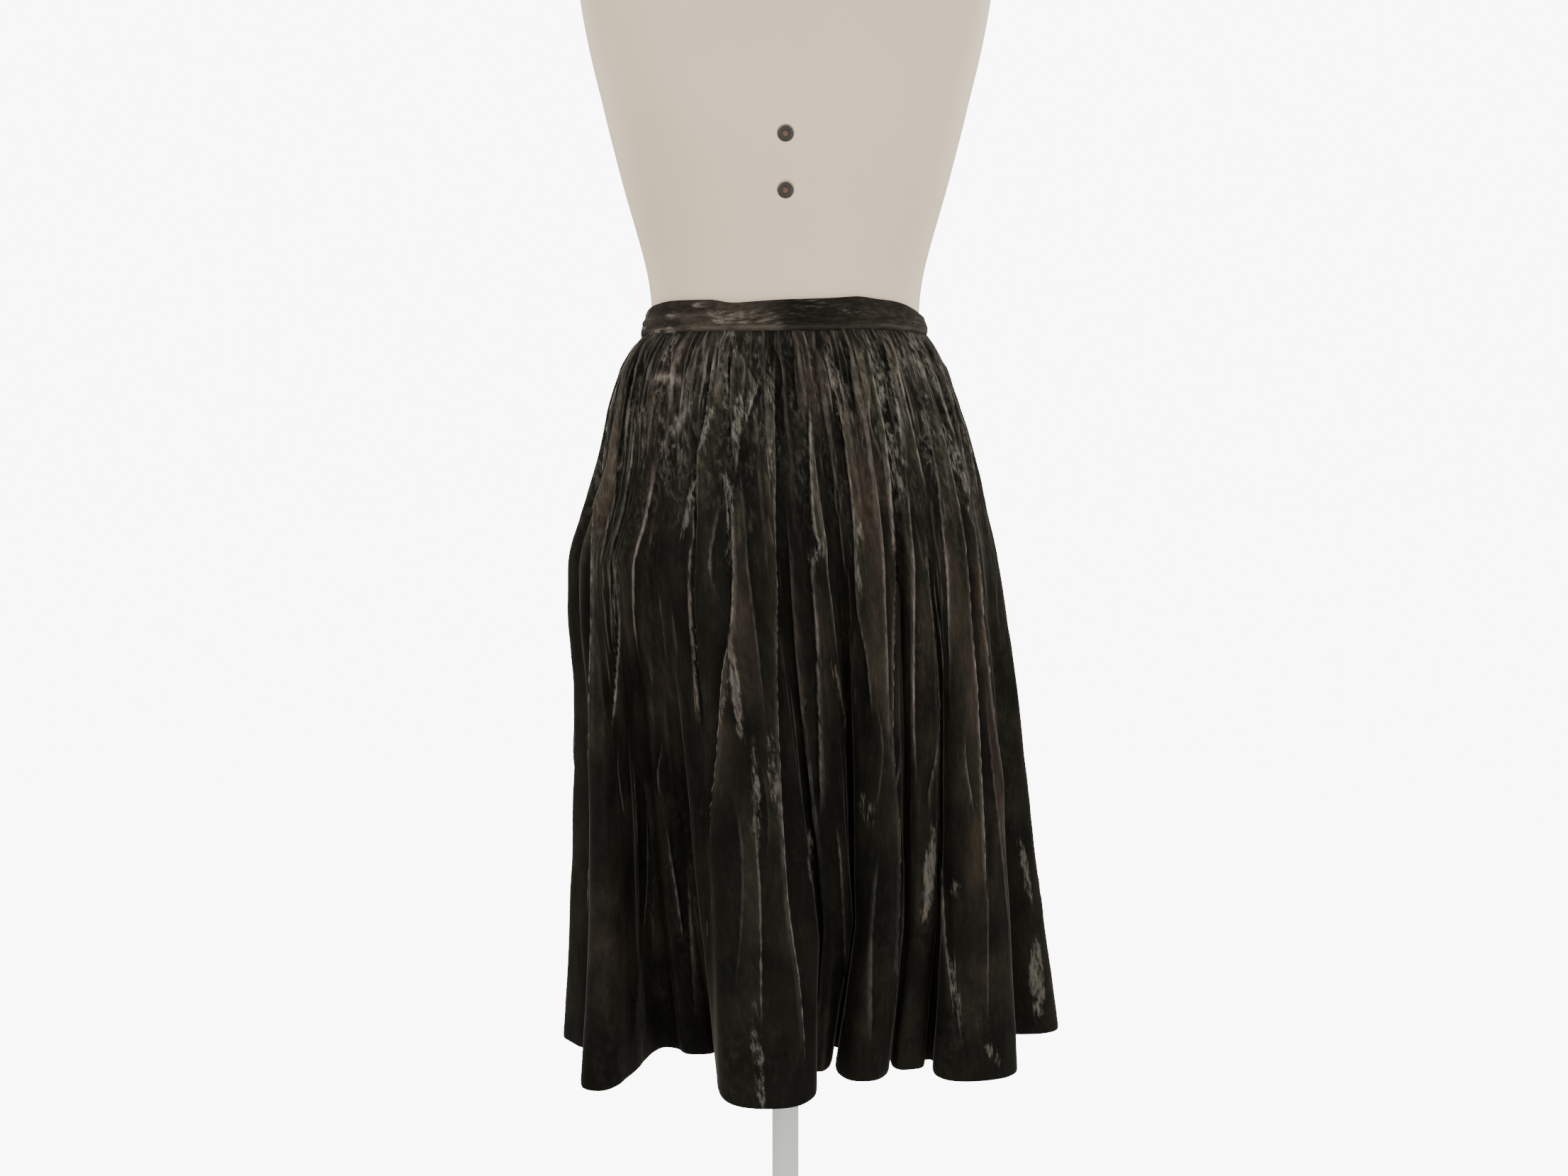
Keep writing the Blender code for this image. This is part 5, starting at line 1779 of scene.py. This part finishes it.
@dataclass
class RoundStand:
    """Weighted round base, pole with its collar and clamp screw, and the flange under the form."""

    lacquer: bpy.types.Material
    steel: bpy.types.Material
    pole_radius: float = 12.5 * MM
    base_radius: float = 0.180
    base_thickness: float = 10.0 * MM
    collar_radius: float = 22.0 * MM
    collar_height: float = 30.0 * MM
    flange_radius: float = 45.0 * MM
    flange_thickness: float = 6.0 * MM

    def build(self) -> list[bpy.types.Object]:
        """Builds the stand's pieces, each in the place of its node."""
        form_foot = WAIST_SEAM_HEIGHT + FORM[0].height
        flange_top = form_foot - SEAM_GAP
        flange_foot = flange_top - self.flange_thickness
        foot = self.base_thickness + SEAM_GAP
        pieces = [
            self.dressed(self.base(), "stand_base"),
            self.dressed(self.pole(foot, flange_foot - SEAM_GAP), "stand_pole"),
            self.dressed(self.flange(flange_foot, flange_top), "stand_flange"),
        ]
        clamp = self.clamp_screw(foot + 0.55 * self.collar_height)
        return [*pieces, handed_over(clamp)]

    def dressed(self, obj: bpy.types.Object, node: str) -> bpy.types.Object:
        """Finishes one lacquered piece that stands for a node."""
        MODELLER.smooth(obj, 35)
        obj.data.materials.append(self.lacquer)
        return handed_over(obj, node)

    def base(self) -> bpy.types.Object:
        """The round base: a rolled edge, a nearly flat top and a low step round the collar."""
        r, t = self.base_radius, self.base_thickness
        profile = ((r - 4 * MM, 0.0), (r - 1.2 * MM, 0.6 * MM), (r, 2.4 * MM), (r, t - 4.2 * MM),
                   (r - 0.5 * MM, t - 2.6 * MM), (r - 2.0 * MM, t - 1.2 * MM), (r - 5 * MM, t - 0.5 * MM),
                   (0.55 * r, t - 0.2 * MM), (0.20 * r, t - 0.1 * MM), (0.18 * r, t))
        return MODELLER.turned("stand_base_plate", profile, 160)

    def pole(self, foot: float, top: float) -> bpy.types.Object:
        """The pole and its collar in one turned piece."""
        r, c = self.pole_radius, self.collar_radius
        collar_top = foot + self.collar_height
        profile = ((c - 0.8 * MM, foot), (c, foot + 0.8 * MM), (c, collar_top - 3.0 * MM),
                   (c - 0.6 * MM, collar_top - 1.4 * MM), (c - 2.0 * MM, collar_top - 0.4 * MM),
                   (c - 3.4 * MM, collar_top), (r + 0.7 * MM, collar_top), (r, collar_top + 0.2 * MM),
                   (r, 0.5 * (collar_top + top)), (r, top - 1.0 * MM), (r - 1.0 * MM, top))
        return MODELLER.turned("stand_pole_and_collar", profile, 72)

    def flange(self, foot: float, top: float) -> bpy.types.Object:
        """The flat flange that the form is screwed down on."""
        r = self.flange_radius
        profile = ((r - 4 * MM, foot), (r - 1.2 * MM, foot + 0.6 * MM), (r, foot + 2.2 * MM), (r, top))
        return MODELLER.turned("stand_flange_plate", profile, 96)

    def clamp_screw(self, height: float) -> bpy.types.Object:
        """A small socket screw in the collar's back."""
        profile = ((3.0 * MM, -1.5 * MM), (3.0 * MM, 1.2 * MM), (2.6 * MM, 1.8 * MM), (1.9 * MM, 1.9 * MM))
        screw = MODELLER.turned("stand_clamp_screw", profile, 32)
        hollow = ((1.4 * MM, 0.6 * MM), (1.5 * MM, 4 * MM))
        MODELLER.cut(screw, MODELLER.turned("clamp_socket_cutter", hollow, 6))
        MODELLER.smooth(screw, 30)
        place = Matrix.Translation((0, self.collar_radius, height)) @ Matrix.Rotation(-math.pi / 2, 4, "X")
        MODELLER.place(screw, place)
        screw.data.materials.append(self.steel)
        return screw


@dataclass
class Studio:
    """Pale floor, soft lights and the camera at the photograph's place."""

    camera_place: tuple[float, float, float] = (-0.0013, -1.55, 0.892)
    camera_pitch: float = 86.0
    lens: float = 38.4
    floor_size: float = 60.0
    floor_glow: float = 8.3
    world_light: float = 0.82
    world_seen: float = 9.0

    def build(self) -> None:
        """Sets up the world, the floor, the lights and the camera."""
        self.world()
        self.floor()
        self.area_light("key", (-1.7, -2.3, 2.5), (0.0, 0.0, 0.85), 1.5, 25.0, (1.0, 0.985, 0.955))
        self.area_light("fill", (1.7, -2.5, 1.3), (0.0, 0.0, 0.70), 1.8, 28.0, (1.0, 0.995, 0.985))
        self.area_light("rim_right", (2.0, 1.5, 1.7), (0.1, 0.0, 0.8), 1.2, 24.0, (1.0, 0.92, 0.82))
        self.area_light("rim_left", (-2.0, 1.5, 1.6), (-0.1, 0.0, 0.8), 1.2, 18.0, (1.0, 0.90, 0.78))
        self.camera()

    def world(self) -> None:
        """White to the camera, and a softer even light on the object."""
        world = bpy.data.worlds.new("studio")
        world.use_nodes = True
        bpy.context.scene.world = world
        graph = Graph(world.node_tree)
        lit = graph.add("ShaderNodeBackground", {"Color": (1.0, 0.99, 0.97), "Strength": self.world_light})
        seen = graph.add("ShaderNodeBackground", {"Color": (1.0, 1.0, 1.0), "Strength": self.world_seen})
        mixed = graph.add("ShaderNodeMixShader", {0: graph.add("ShaderNodeLightPath"), 1: lit, 2: seen})
        graph.add("ShaderNodeOutputWorld", {0: mixed})

    def floor(self) -> None:
        """A wide pale floor."""
        MODELLER.start()
        bpy.ops.mesh.primitive_plane_add(size=self.floor_size, location=(0, 0, 0))
        floor = MODELLER.named("studio_floor")
        made, graph = new_material("pale_floor")
        place = graph.add("ShaderNodeTexCoord", output="Object")
        colour = graph.mixed(graph.noise(place, 0.6), (0.88, 0.88, 0.87), (0.91, 0.91, 0.90))
        plain = graph.add("ShaderNodeBsdfPrincipled", {"Base Color": colour, "Roughness": 0.8})
        seen = graph.add("ShaderNodeLightPath")
        glow = graph.add("ShaderNodeEmission", {"Strength": seen * self.floor_glow})
        graph.add("ShaderNodeOutputMaterial", {0: graph.add("ShaderNodeAddShader", {0: plain, 1: glow})})
        floor.data.materials.append(made)

    def area_light(
        self, name: str, place: tuple[float, float, float], aim: tuple[float, float, float],
        size: float, power: float, colour: tuple[float, float, float],
    ) -> None:
        """A square soft light turned to a point.

        Args:
            name: Its name.
            place: Where it hangs.
            aim: What it is turned to.
            size: Length of its side.
            power: Watts.
            colour: Its colour.
        """
        light = bpy.data.lights.new(name, "AREA")
        light.size = size
        light.energy = power
        light.color = colour
        obj = bpy.data.objects.new(name, light)
        obj.location = place
        obj.rotation_euler = (Vector(aim) - Vector(place)).to_track_quat("-Z", "Y").to_euler()
        bpy.context.scene.collection.objects.link(obj)

    def camera(self) -> None:
        """The camera, level with the lower skirt and tilted a little down."""
        data = bpy.data.cameras.new("photo_camera")
        data.lens = self.lens
        data.sensor_width = 36.0
        data.sensor_fit = "HORIZONTAL"
        obj = bpy.data.objects.new("photo_camera", data)
        obj.location = self.camera_place
        obj.rotation_euler = (math.radians(self.camera_pitch), 0, 0)
        bpy.context.scene.collection.objects.link(obj)
        bpy.context.scene.camera = obj


def main() -> None:
    """Builds the studio and every piece in order."""
    logging.basicConfig(level=logging.INFO, format="%(name)s: %(message)s")
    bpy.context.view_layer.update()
    Studio().build()
    effects = SharedEffects()
    velvet = VelvetFinish().material(effects)
    band_velvet = BAND_VELVET_FINISH.material(effects)
    woven_back = WovenBackFinish().material()
    steel, rust = SCREW_FINISH.material(effects), SOCKET_FINISH.material(effects)
    lacquer = STAND_FINISH.material(effects)
    pieces = VelvetSkirt(velvet, woven_back, SkirtShape()).build()
    pieces.append(VelvetWaistband(band_velvet, woven_back).build())
    pieces += BandButton(BUTTON_FINISH.material(effects), THREAD_FINISH.material(effects)).build()
    pieces += DressForm(FORM_FINISH.material(effects), steel, rust).build()
    pieces += RoundStand(lacquer, steel).build()
    for piece in pieces:
        LOG.info("%s: %d faces", piece.name, len(piece.data.polygons))


if __name__ == "__main__":
    main()
